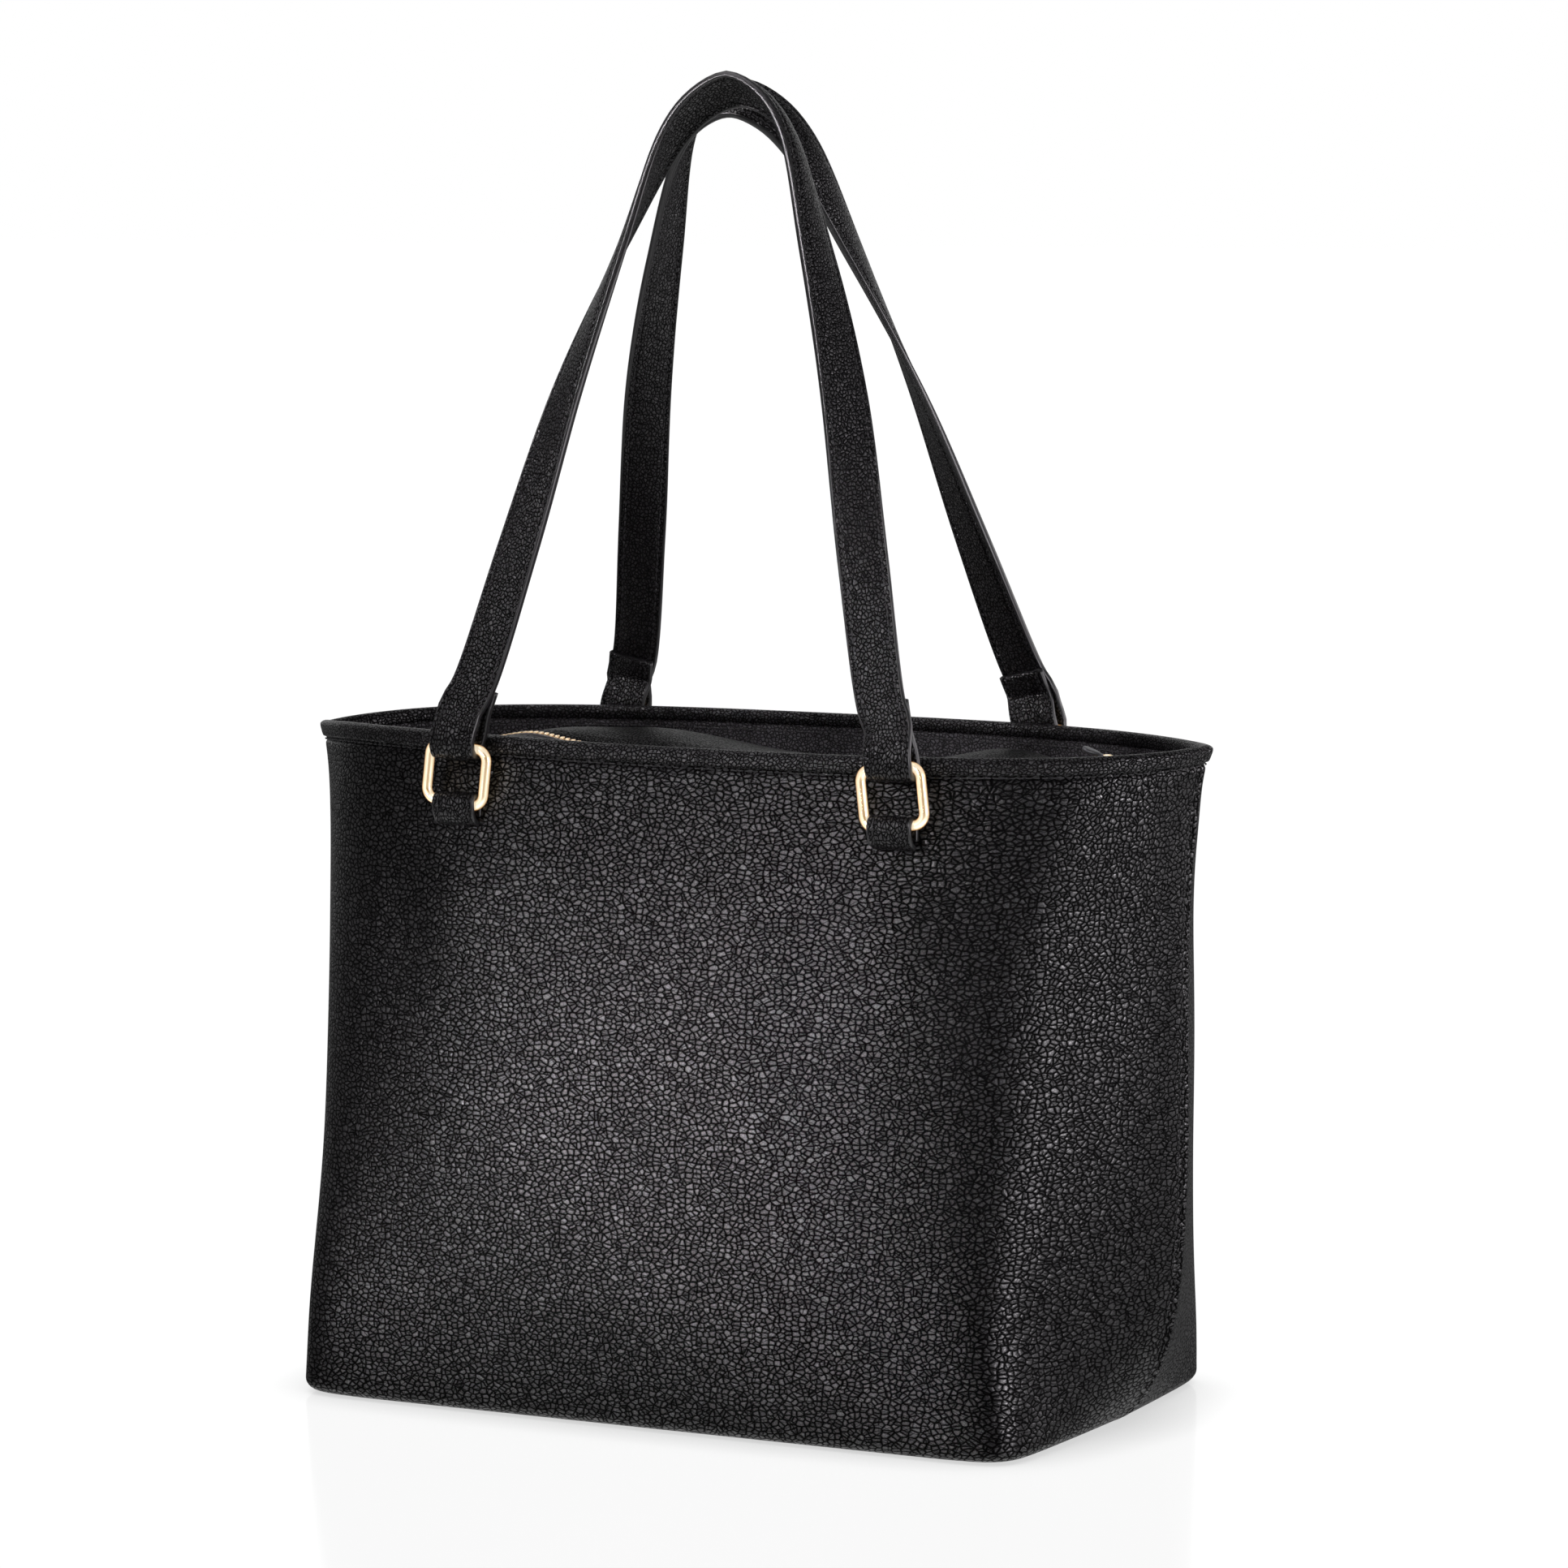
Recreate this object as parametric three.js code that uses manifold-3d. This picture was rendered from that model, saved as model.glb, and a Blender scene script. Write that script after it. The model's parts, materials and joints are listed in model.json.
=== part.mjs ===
// A soft leather tote made as a diaper bag: two panels sewn at the sides, a recessed zip closure,
// and two handles that hang on four metal rings.
// Millimetres, +Z up. The origin is the middle of the underside. X runs across the width and -Y is
// the front.
import * as THREE from "three";
import Module from "manifold-3d";

// ---------------------------------------------------------------- driving dimensions

const RIM_Z = 280; // top of the panels, under the rim binding
// Superellipses with bowed ends.
const BASE = { halfWidth: 168, halfDepth: 104, sideBulge: 3, nx: 20, ny: 14 };
const RIM = { halfWidth: 209.5, halfDepth: 80, sideBulge: 0, nx: 3.2, ny: 1.4 };
// The side seams stand upright between base and rim.
const SEAM = { halfWidth: 200, footCurve: 26, rimFlare: 12 };
const BASE_FOLD = 98; // distance along the base edge from the side seam to the corner fold
const RIM_FOLD = 62; // the same along the rim
const FOLD_U = 0.6; // outline parameter of the fold: 0 is the middle of the front, 1 the side seam
const FACE_BULGE = 9; // how far the front and back faces belly out
const SEAM_GAP = 0.3; // half the gap left between the front and back pieces at a side seam

const PANEL_T = 2.4;
const LAYER_GAP = 0.8;
const FACING_T = 1.4;
const LINING_T = 0.8;
const FACING_DEPTH = 40;
const FACING_IN = PANEL_T + LAYER_GAP; // inset of the facing and the lining from the outer surface

const RING = { width: 27.5, height: 24.3, corner: 4, wire: 2.05 }; // on the wire's centre line
const RING_X = 101; // half the distance between a face's two rings
const RING_SHIFT = 6; // how far a face's rings sit to the right of its middle, as seen from outside
const RING_Z = 254; // centre of the ring's lower bar, where it hinges in its tab
const LOOP_GAP = 0.35; // leather to wire

const TAB = { width: 20, thickness: 1.8, footZ: 245 };
const STRAP = { width: 20.4, thickness: 3, tailZ: 305 };
// Each handle's top, as seen from its own face, and how late its left and its right leg turn.
const HANDLE_TOP = {
  front: { y: -27, z: 552.5, lateTurn: [2, 1.25] },
  back: { y: 5, z: 549, lateTurn: [1.3, 1.4] },
};
const HANDLE_LEG = [
  // half the distance between the legs, and how far up the handle it is
  [94.5, 0],
  [80, 0.23],
  [64.5, 0.49],
  [46, 0.73],
  [29, 0.915],
  [16, 0.975],
];
const HANDLE_FOOT_Z = 303;
const ARCH_STEPS = 52;
const TOP_TWIST = THREE.MathUtils.degToRad(118); // the strap's turn from its feet to its top

const ZIP_END = 168; // half the length of the zip's chain
const ZIP_Z = 271; // mid height of the chain
const CLOSURE_T = 1.4;
const CLOSURE_WALL_Z = 262; // where the closure meets the facing
const CLOSURE_ZIP_Z = 271.4; // where it meets the zip
const CLOSURE_HUMP = 7;
const CLOSURE_END = 171.5;
const CLOSURE_EDGE_Y = 6.2;
const SLIDER_X = 163; // the slider's place with the bag shut
const PULL_TILT = THREE.MathUtils.degToRad(20); // how far the pull stands up from lying flat
const PULL_HINGE = new THREE.Vector3(SLIDER_X + 2.5, 0, 276.2);

// ---------------------------------------------------------------- materials

const leather = new THREE.MeshStandardMaterial({ color: 0x17171a, roughness: 0.55 });
const liningFabric = new THREE.MeshStandardMaterial({ color: 0x8f8a83, roughness: 0.9 });
const zipTape = new THREE.MeshStandardMaterial({ color: 0x121214, roughness: 0.95 });
const goldMetal = new THREE.MeshStandardMaterial({ color: 0xe6c48c, roughness: 0.18, metalness: 1 });
const stiffener = new THREE.MeshStandardMaterial({ color: 0x2a2a2c, roughness: 0.8 });

// ---------------------------------------------------------------- closed geometry from points

// A geometry from points and triangles, turned face out.
function solid(points, triangles) {
  let volume = 0;
  for (const [a, b, c] of triangles) {
    volume += points[a].dot(points[b].clone().cross(points[c]));
  }
  const faces = volume < 0 ? triangles.map(([a, b, c]) => [a, c, b]) : triangles;
  return new THREE.BufferGeometry().setFromPoints(points).setIndex(faces.flat());
}

// Joins a run of rings of points, each with the same count. An open run is closed at both ends by the
// triangles in cap, which are in the order of a ring. With no cap the run is joined end to end.
// Each four-cornered facet is split along its shorter diagonal, so that neighbouring layers split alike.
function skin(rings, cap) {
  const count = rings[0].length;
  const points = rings.flat();
  const spans = cap ? rings.length - 1 : rings.length;
  const triangles = [];
  for (let i = 0; i < spans; i++) {
    const row = i * count;
    const next = ((i + 1) % rings.length) * count;
    for (let j = 0; j < count; j++) {
      const k = (j + 1) % count;
      const [a, b, c, d] = [row + j, row + k, next + k, next + j];
      const split = points[a].distanceTo(points[c]) < points[b].distanceTo(points[d]);
      triangles.push(...(split ? [[a, b, c], [a, c, d]] : [[a, b, d], [b, c, d]]));
    }
  }
  const end = spans * count;
  for (const [a, b, c] of cap ?? []) {
    triangles.push([a, c, b], [end + a, end + b, end + c]);
  }
  return solid(points, triangles);
}

// A fan over a ring, for convex rings.
function fanCap(count) {
  return spread(1, count - 2, count - 3).map((j) => [0, j, j + 1]);
}

// A sheet with thickness from two matching grids of points, its outer and its inner face.
function sheet(outer, inner) {
  const rows = outer.map((row, i) => [...row, ...inner[i].slice().reverse()]);
  const last = rows[0].length - 1;
  const cap = spread(0, outer[0].length - 2, outer[0].length - 2).flatMap((j) => [
    [j, last - 1 - j, last - j],
    [j, j + 1, last - 1 - j],
  ]);
  return skin(rows, cap);
}

// A box-section strip along stations {point, across, out}.
function ribbon(stations, width, thickness) {
  const corners = [
    [-1, -1],
    [1, -1],
    [1, 1],
    [-1, 1],
  ];
  const rings = stations.map(({ point, across, out }) =>
    corners.map(([a, b]) =>
      point.clone().addScaledVector(across, (a * width) / 2).addScaledVector(out, (b * thickness) / 2),
    ),
  );
  return skin(rings, fanCap(4));
}

function spread(from, to, count) {
  return Array.from({ length: count + 1 }, (_, i) => from + ((to - from) * i) / count);
}

// ---------------------------------------------------------------- the bag's outline

// A quarter outline from the side seam to the middle of the face, with the distance run along it.
function quarterOutline({ halfWidth, halfDepth, sideBulge, nx, ny }) {
  const cornerX = halfWidth * 0.5 ** (1 / nx);
  const cornerY = halfDepth * 0.5 ** (1 / ny);
  const xAt = (y) => halfWidth * (1 - (y / halfDepth) ** ny) ** (1 / nx);
  const yAt = (x) => halfDepth * (1 - (x / halfWidth) ** nx) ** (1 / ny);
  const sidePart = spread(0, cornerY, 200).map((y) => [xAt(y), y]);
  const facePart = spread(cornerX, 0, 200).map((x) => [x, yAt(x)]);
  const points = [...sidePart, ...facePart.slice(1)].map(
    ([x, y]) => new THREE.Vector2(x + sideBulge * (1 - (y / halfDepth) ** 2), y),
  );
  const distances = [0];
  for (let i = 1; i < points.length; i++) {
    distances.push(distances[i - 1] + points[i].distanceTo(points[i - 1]));
  }
  return { points, distances, length: distances[distances.length - 1] };
}

function outlineAt({ points, distances, length }, distance) {
  const d = Math.min(Math.max(distance, 0), length);
  const i = Math.max(1, distances.findIndex((value) => value >= d));
  const share = (d - distances[i - 1]) / (distances[i] - distances[i - 1] || 1);
  return points[i - 1].clone().lerp(points[i], share);
}

const baseOutline = quarterOutline(BASE);
const rimOutline = quarterOutline(RIM);
const BASE_TIP = BASE.halfWidth + BASE.sideBulge;

// How far out a side seam stands at a height: it swells quickly off the base and flares again at the rim.
function seamX(z, share) {
  const swell = (SEAM.halfWidth - BASE_TIP) * (1 - Math.exp(-z / SEAM.footCurve));
  return BASE_TIP + swell + (RIM.halfWidth - SEAM.halfWidth) * share ** SEAM.rimFlare;
}

// A point of the bag's wall. u runs from the left seam (-1) through the middle of the face to the right
// seam (1). side is -1 for the front and 1 for the back, and inset moves the point in from the surface.
function wallPoint(u, z, inset = 0, side = -1) {
  const share = Math.min(Math.max(z / RIM_Z, 0), 1);
  const away = Math.abs(u);
  const onSide = away > FOLD_U;
  const part = onSide ? (1 - away) / (1 - FOLD_U) : (FOLD_U - away) / FOLD_U;
  const along = (fold, length) => (onSide ? part * fold : fold + part * (length - fold));
  const low = outlineAt(baseOutline, along(BASE_FOLD, baseOutline.length));
  const high = outlineAt(rimOutline, along(RIM_FOLD, rimOutline.length));
  const flat = low.lerp(high, share);
  const seamPull = seamX(z, share) - THREE.MathUtils.lerp(BASE_TIP, RIM.halfWidth, share);
  const x = flat.x + seamPull * (onSide ? 1 - part : 0);
  const belly = onSide ? 0 : FACE_BULGE * Math.sin((Math.PI / 2) * part) ** 2;
  const y = flat.y + belly * Math.sin(Math.PI * share);
  const reachX = THREE.MathUtils.lerp(BASE_TIP, RIM.halfWidth, share);
  const reachY = THREE.MathUtils.lerp(BASE.halfDepth, RIM.halfDepth, share);
  return new THREE.Vector3(
    Math.sign(u) * x * (1 - inset / reachX),
    side * (y * (1 - inset / reachY) + SEAM_GAP),
    z,
  );
}

// The outline parameter at which the wall, at a height and inset, reaches a given x.
function uAtX(x, z, inset) {
  let low = 0;
  let high = 1;
  for (let i = 0; i < 40; i++) {
    const middle = (low + high) / 2;
    if (wallPoint(middle, z, inset).x < x) low = middle;
    else high = middle;
  }
  return low;
}

// Outline parameters with more stations at the folds and seams, where the wall turns.
const WALL_U = (() => {
  const right = [0, 0.2, 0.38, 0.5, 0.56, 0.6, 0.64, 0.7, 0.8, 0.9, 0.96, 1];
  return [...right.slice(1).map((u) => -u).reverse(), ...right];
})();

function wallSheet(side, outerInset, innerInset, levels, us = WALL_U) {
  const grid = (inset) => levels.map((z) => us.map((u) => wallPoint(u, z, inset, side)));
  return sheet(grid(outerInset), grid(innerInset));
}

const RING_COUNT = 2 * WALL_U.length;

// Once round the bag at one height.
function wallRing(z, inset) {
  const back = WALL_U.slice().reverse();
  return [
    ...WALL_U.map((u) => wallPoint(u, z, inset, -1)),
    ...back.map((u) => wallPoint(u, z, inset, 1)),
  ];
}

// ---------------------------------------------------------------- body of the bag

// Every layer of the wall is cut at the same heights, so that its facets nest.
const BODY_LEVELS = [12, 22, 38, 62, 110, 160, 205];
const LINING_FOOT = 6;
const POCKET_FOOT = 50;
const PANEL_LEVELS = [2.4, LINING_FOOT, ...BODY_LEVELS, RIM_Z - FACING_DEPTH, CLOSURE_WALL_Z, RIM_Z - 2];

const plate = (bottom, top, inset) =>
  skin([wallRing(bottom, inset), wallRing(top, inset)], fanCap(RING_COUNT));

function liningBag() {
  const levels = [LINING_FOOT, ...BODY_LEVELS, RIM_Z - FACING_DEPTH - LAYER_GAP];
  const outer = levels.map((z) => wallRing(z, FACING_IN));
  const inner = levels.map((z, i) => wallRing(i ? z : z + LINING_T, FACING_IN + LINING_T));
  return skin([...outer, ...inner.reverse()], fanCap(RING_COUNT));
}

function slipPocket(side) {
  const inset = FACING_IN + LINING_T + LAYER_GAP;
  const levels = BODY_LEVELS.filter((z) => z > POCKET_FOOT);
  return wallSheet(side, inset, inset + 1, levels, WALL_U.filter((u) => Math.abs(u) <= 0.5));
}

// A strip folded over the top edge: a channel whose legs lie outside the panel and inside the facing.
function rimBinding(side) {
  const outside = -1.6;
  const inside = FACING_IN + FACING_T + 1.8;
  const profile = [
    [outside, 272.5],
    [outside, 279.6],
    [(outside + inside) / 2, 281],
    [inside, 279.6],
    [inside, 272.5],
    [inside - 1.3, 272.5],
    [inside - 1.3, 278.5],
    [outside + 1.1, 278.5],
    [outside + 1.1, 272.5],
  ];
  const contour = profile.map(([inset, z]) => new THREE.Vector2(inset, z));
  const cap = THREE.ShapeUtils.triangulateShape(contour, []).map(([a, b, c]) => {
    const turnsWithContour = THREE.ShapeUtils.area([contour[a], contour[b], contour[c]]) < 0;
    return turnsWithContour ? [a, b, c] : [a, c, b];
  });
  return skin(
    WALL_U.map((u) => profile.map(([inset, z]) => wallPoint(u, z, inset, side))),
    cap,
  );
}

// ---------------------------------------------------------------- zip closure

const closureInset = FACING_IN + FACING_T + LAYER_GAP;

// Height of the closure, v from the facing (0) to the zip (1).
const closureHeight = (v) =>
  THREE.MathUtils.lerp(CLOSURE_WALL_Z, CLOSURE_ZIP_Z, v) + CLOSURE_HUMP * Math.sin(Math.PI * v);

// One leather flap of the closure, from the facing to the zip tape.
function zipPanel(side) {
  const limit = uAtX(CLOSURE_END, CLOSURE_WALL_Z, closureInset);
  const us = [-limit, ...WALL_U.filter((u) => Math.abs(u) < limit - 0.01), limit];
  const grid = (lift) =>
    us.map((u) => {
      const wall = wallPoint(u, CLOSURE_WALL_Z, closureInset, side);
      return spread(0, 1, 5).map(
        (v) =>
          new THREE.Vector3(
            wall.x,
            THREE.MathUtils.lerp(wall.y, side * CLOSURE_EDGE_Y, v),
            closureHeight(v) + lift,
          ),
      );
    });
  return sheet(grid(CLOSURE_T), grid(0));
}

// The leather that fills the pointed end between the zip and the side seam.
function endGusset(sign) {
  const start = uAtX(CLOSURE_END + 0.7, CLOSURE_WALL_Z, closureInset);
  const us = spread(start, 0.985, 5);
  const grid = (lift) =>
    us.map((u, i) => {
      const wall = wallPoint(u, CLOSURE_WALL_Z, closureInset, -1);
      const share = i / (us.length - 1);
      const rise = 7 * share ** 2;
      return spread(-1, 1, 8).map((v) => {
        const z = THREE.MathUtils.lerp(closureHeight(1 - Math.abs(v)), CLOSURE_WALL_Z, share);
        return new THREE.Vector3(sign * wall.x, wall.y * -v, z + rise + lift);
      });
    });
  return sheet(grid(CLOSURE_T), grid(0));
}

function boxBetween(x0, x1, y0, y1, z0, z1) {
  const box = new THREE.BoxGeometry(x1 - x0, Math.abs(y1 - y0), z1 - z0);
  return box.translate((x0 + x1) / 2, (y0 + y1) / 2, (z0 + z1) / 2);
}

const TAPE = { inner: 2.3, outer: 14, half: 0.3, end: ZIP_END + 3 };
const CHAIN = { inner: 0.2, outer: 2, half: 1.3 };
const STOP_HALF = 1.15;

// A bar on one side of the zip, or across both.
const zipBar = (x0, x1, y0, y1, half) => boxBetween(x0, x1, y0, y1, ZIP_Z - half, ZIP_Z + half);

const zipTapeHalf = (side) =>
  zipBar(-TAPE.end, TAPE.end, side * TAPE.inner, side * TAPE.outer, TAPE.half).translate(0, 0, -0.3);

const zipTeethHalf = (side) =>
  zipBar(-ZIP_END, ZIP_END, side * CHAIN.inner, side * CHAIN.outer, CHAIN.half);

const topStop = (side) =>
  zipBar(ZIP_END + 0.4, ZIP_END + 2.4, side * CHAIN.inner, side * CHAIN.outer, STOP_HALF);

const bottomStop = () => zipBar(-ZIP_END - 2.6, -ZIP_END - 0.4, -CHAIN.outer, CHAIN.outer, STOP_HALF);

// ---------------------------------------------------------------- slider and pull, joined from simple solids

const wasm = await Module();
wasm.setup();

function toManifold(geometry) {
  const flat = geometry.index ? geometry.toNonIndexed() : geometry;
  const position = flat.getAttribute("position");
  const seen = new Map();
  const vertProperties = [];
  const triVerts = [];
  for (let i = 0; i < position.count; i++) {
    const corner = [position.getX(i), position.getY(i), position.getZ(i)];
    const key = corner.map((value) => Math.round(value * 1e4)).join(" ");
    if (!seen.has(key)) {
      seen.set(key, vertProperties.length / 3);
      vertProperties.push(...corner);
    }
    triVerts.push(seen.get(key));
  }
  return new wasm.Manifold(
    new wasm.Mesh({
      numProp: 3,
      vertProperties: new Float32Array(vertProperties),
      triVerts: new Uint32Array(triVerts),
    }),
  );
}

function joined(...geometries) {
  const made = geometries.map(toManifold).reduce((a, b) => a.add(b)).getMesh();
  return new THREE.BufferGeometry()
    .setAttribute("position", new THREE.BufferAttribute(made.vertProperties, 3))
    .setIndex(new THREE.BufferAttribute(made.triVerts, 1));
}

// A flat outline in X and Z, given thickness along Y and centred on Y = 0.
function plateAlongY(shape, thickness) {
  const settings = { depth: thickness, bevelEnabled: false, curveSegments: 6 };
  const made = new THREE.ExtrudeGeometry(shape, settings);
  return made.rotateX(Math.PI / 2).translate(0, thickness / 2, 0);
}

// The slider's saddle over the closed chain, with the lug that the pull hangs on.
function zipSlider() {
  const floor = PULL_HINGE.z - 2.4;
  const saddle = [
    boxBetween(-5, 5, -4.6, 4.6, floor - 1.2, floor),
    boxBetween(-5, 5, -4.6, -3.2, floor - 2.2, floor - 0.6),
    boxBetween(-5, 5, 3.2, 4.6, floor - 2.2, floor - 0.6),
  ].map((part) => part.translate(SLIDER_X, 0, 0));
  const lug = new THREE.Shape();
  lug.moveTo(-2, -2.6);
  lug.lineTo(2, -2.6);
  lug.lineTo(2, 0);
  lug.absarc(0, 0, 2, 0, Math.PI, false);
  lug.closePath();
  const eye = new THREE.Path();
  eye.absarc(0, 0, 0.95, 0, Math.PI * 2, true);
  lug.holes.push(eye);
  return joined(...saddle, plateAlongY(lug, 1.6).translate(PULL_HINGE.x, 0, PULL_HINGE.z));
}

// The pull: a pin through the lug's eye, a fork on it, and a rounded paddle. Built pointing along -X.
function zipPull() {
  const outline = new THREE.Shape();
  outline.moveTo(-3, -1.5);
  outline.lineTo(-3, 1.5);
  outline.lineTo(-5, 1.2);
  outline.bezierCurveTo(-6, 1.2, -6.2, 2.9, -8, 2.9);
  outline.lineTo(-11, 2.9);
  outline.bezierCurveTo(-14.2, 2.9, -14.2, -2.9, -11, -2.9);
  outline.lineTo(-8, -2.9);
  outline.bezierCurveTo(-6.2, -2.9, -6, -1.2, -5, -1.2);
  outline.closePath();
  const paddle = new THREE.ExtrudeGeometry(outline, { depth: 2, bevelEnabled: false, curveSegments: 5 });
  const pin = new THREE.CylinderGeometry(0.6, 0.6, 3.6, 10);
  return joined(
    paddle.translate(0, 0, -1),
    boxBetween(-3.8, 0.8, -2.2, -1.15, -0.9, 0.9),
    boxBetween(-3.8, 0.8, 1.15, 2.2, -0.9, 0.9),
    pin,
  );
}

// ---------------------------------------------------------------- rings, tabs and handles

// The tab's back leg lies just off the panel at its foot, which sets how far out the ring hangs.
const panelAtFoot = wallPoint(uAtX(RING_X - RING_SHIFT, TAB.footZ, 0), TAB.footZ).y;
const RING_Y = panelAtFoot - LAYER_GAP - TAB.thickness - LOOP_GAP - RING.wire;

// A rounded rectangle of round wire in the XZ plane, its lower bar centred on the origin.
function ringWire() {
  const path = [];
  const cornerX = RING.width / 2 - RING.corner;
  const cornerZ = [RING.corner, RING.height - RING.corner];
  const corners = [
    [cornerX, cornerZ[0], -90],
    [cornerX, cornerZ[1], 0],
    [-cornerX, cornerZ[1], 90],
    [-cornerX, cornerZ[0], 180],
  ];
  for (const [x, z, start] of corners) {
    for (const turn of spread(0, 90, 4)) {
      const angle = THREE.MathUtils.degToRad(start + turn);
      const out = new THREE.Vector3(Math.cos(angle), 0, Math.sin(angle));
      path.push({ point: new THREE.Vector3(x, 0, z).addScaledVector(out, RING.corner), out });
    }
  }
  const along = new THREE.Vector3(0, 1, 0);
  const sections = path.map(({ point, out }) =>
    spread(0, 315, 7).map((turn) => {
      const angle = THREE.MathUtils.degToRad(turn + 22.5);
      return point
        .clone()
        .addScaledVector(out, RING.wire * Math.cos(angle))
        .addScaledVector(along, RING.wire * Math.sin(angle));
    }),
  );
  return skin(sections);
}

const acrossX = new THREE.Vector3(1, 0, 0);

// Stations of a strip turning round a bar along X, from start to end degrees, where 0 is the bag's side of
// the bar, 90 below it and 180 in front.
function turnRound(y, z, radius, start, end, steps) {
  return spread(start, end, steps).map((turn) => {
    const angle = THREE.MathUtils.degToRad(turn);
    const out = new THREE.Vector3(0, Math.cos(angle), -Math.sin(angle));
    return { point: new THREE.Vector3(0, y, z).addScaledVector(out, radius), across: acrossX, out };
  });
}

const straight = (y, z, outY) => ({
  point: new THREE.Vector3(0, y, z),
  across: acrossX,
  out: new THREE.Vector3(0, outY, 0),
});

// The leather loop that holds a ring's lower bar: up behind the bar, over it and down in front.
function ringTab() {
  const radius = RING.wire + LOOP_GAP + TAB.thickness / 2;
  const stations = [
    straight(RING_Y + radius, TAB.footZ + 2, 1),
    ...turnRound(RING_Y, RING_Z, radius, 0, -180, 10),
    straight(RING_Y - radius + 0.6, TAB.footZ + 3, -1),
  ];
  const foot = {
    point: new THREE.Vector3(0, RING_Y - radius + 2.6, TAB.footZ),
    across: acrossX,
    out: new THREE.Vector3(0, -0.7, -0.7).normalize(),
  };
  return ribbon([...stations, foot], TAB.width, TAB.thickness);
}

const barTopZ = RING_Z + RING.height;

// A handle as seen from its own face: from the stitched tail behind the left ring, under its bar, over the
// arch and down to the right ring. The strap faces out at its feet and has turned past edge-on at its top.
function handle(top) {
  const radius = RING.wire + LOOP_GAP + STRAP.thickness / 2;
  const legFootY = RING_Y - radius + 6.8;
  const lean = (top.y - legFootY) / (top.z - HANDLE_FOOT_Z);
  const leanY = (z) => legFootY + lean * (z - HANDLE_FOOT_Z);
  const tailGap = STRAP.thickness + 0.5;
  const loop = [
    straight(leanY(STRAP.tailZ) + tailGap, STRAP.tailZ, 1),
    straight(RING_Y + radius + 0.6, barTopZ + 12, 1),
    ...turnRound(RING_Y, barTopZ, radius, 0, 180, 8),
  ];
  const leg = [
    new THREE.Vector3(RING_X, RING_Y - radius, barTopZ),
    new THREE.Vector3(RING_X - 0.6, RING_Y - radius + 0.4, barTopZ + 6),
    ...HANDLE_LEG.map(([x, rise]) => {
      const z = THREE.MathUtils.lerp(HANDLE_FOOT_Z, top.z, rise);
      return new THREE.Vector3(x, leanY(z), z);
    }),
  ];
  const leftLeg = leg.map(({ x, y, z }) => new THREE.Vector3(-x, y, z));
  const crown = new THREE.Vector3(0, top.y, top.z);
  const line = [...leftLeg, crown, ...leg.slice().reverse()];
  const curve = new THREE.CatmullRomCurve3(line, false, "centripetal");
  const faceOut = new THREE.Vector3(0, -1, lean).normalize();
  const arch = spread(0, 1, ARCH_STEPS).slice(1, -1).map((share) => {
    const tangent = curve.getTangentAt(share);
    const rise = 1 - Math.abs(2 * share - 1);
    const twist = TOP_TWIST * rise ** top.lateTurn[share < 0.5 ? 0 : 1];
    const aside = faceOut.clone().cross(tangent).normalize();
    const out = faceOut.clone().multiplyScalar(Math.cos(twist)).addScaledVector(aside, Math.sin(twist));
    out.addScaledVector(tangent, -out.dot(tangent)).normalize();
    return { point: curve.getPointAt(share), across: tangent.clone().cross(out), out };
  });
  const inward = (RING_X - HANDLE_LEG[0][0]) / (HANDLE_FOOT_Z - barTopZ);
  const place = (sign) =>
    loop.map(({ point, out }) => ({
      point: point.clone().setX(sign * (RING_X - inward * Math.max(0, point.z - barTopZ))),
      across: acrossX.clone().multiplyScalar(-sign),
      out,
    }));
  const stations = [...place(-1), ...arch, ...place(1).reverse()];
  return ribbon(stations, STRAP.width, STRAP.thickness).translate(RING_SHIFT, 0, 0);
}

// ---------------------------------------------------------------- the assembly

const bag = new THREE.Group();

function add(name, geometry, material, parent = bag) {
  const mesh = new THREE.Mesh(geometry, material);
  mesh.name = name;
  parent.add(mesh);
  return mesh;
}

add("base_panel", plate(0, 2, 0), leather);
add("base_board", plate(2.5, 4.7, 9), stiffener);
add("lining", liningBag(), liningFabric);

for (const [face, side] of [
  ["front", -1],
  ["back", 1],
]) {
  add(`${face}_panel`, wallSheet(side, 0, PANEL_T, PANEL_LEVELS), leather);
  add(
    `${face}_facing`,
    wallSheet(side, FACING_IN, FACING_IN + FACING_T, PANEL_LEVELS.slice(-3)),
    leather,
  );
  add(`${face}_rim_binding`, rimBinding(side), leather);
  add(`${face}_slip_pocket`, slipPocket(side), liningFabric);
  add(`${face}_zip_panel`, zipPanel(side), leather);
  add(`${face}_zip_tape`, zipTapeHalf(side), zipTape);
  add(`${face}_zip_teeth`, zipTeethHalf(side), goldMetal);
  add(`${face}_zip_top_stop`, topStop(side), goldMetal);

  // What hangs on the back is the front's turned half round, so its left hand comes out on the right.
  const turn = side < 0 ? 0 : Math.PI;
  add(`${face}_handle`, handle(HANDLE_TOP[face]).rotateZ(turn), leather);
  for (const x of [RING_SHIFT - RING_X, RING_SHIFT + RING_X]) {
    const ringX = -side * x;
    const hand = ringX < 0 ? "left" : "right";
    add(`${face}_ring_${hand}`, ringWire(), goldMetal).position.set(ringX, -side * RING_Y, RING_Z);
    add(`${face}_tab_${hand}`, ringTab().translate(x, 0, 0).rotateZ(turn), leather);
  }
}

add("left_end_gusset", endGusset(-1), leather);
add("right_end_gusset", endGusset(1), leather);
add("zip_bottom_stop", bottomStop(), goldMetal);
add("zip_slider", zipSlider(), goldMetal);

const pull = add("zip_pull", zipPull(), leather);
pull.position.copy(PULL_HINGE);
pull.rotation.y = PULL_TILT;

export default bag;
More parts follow.
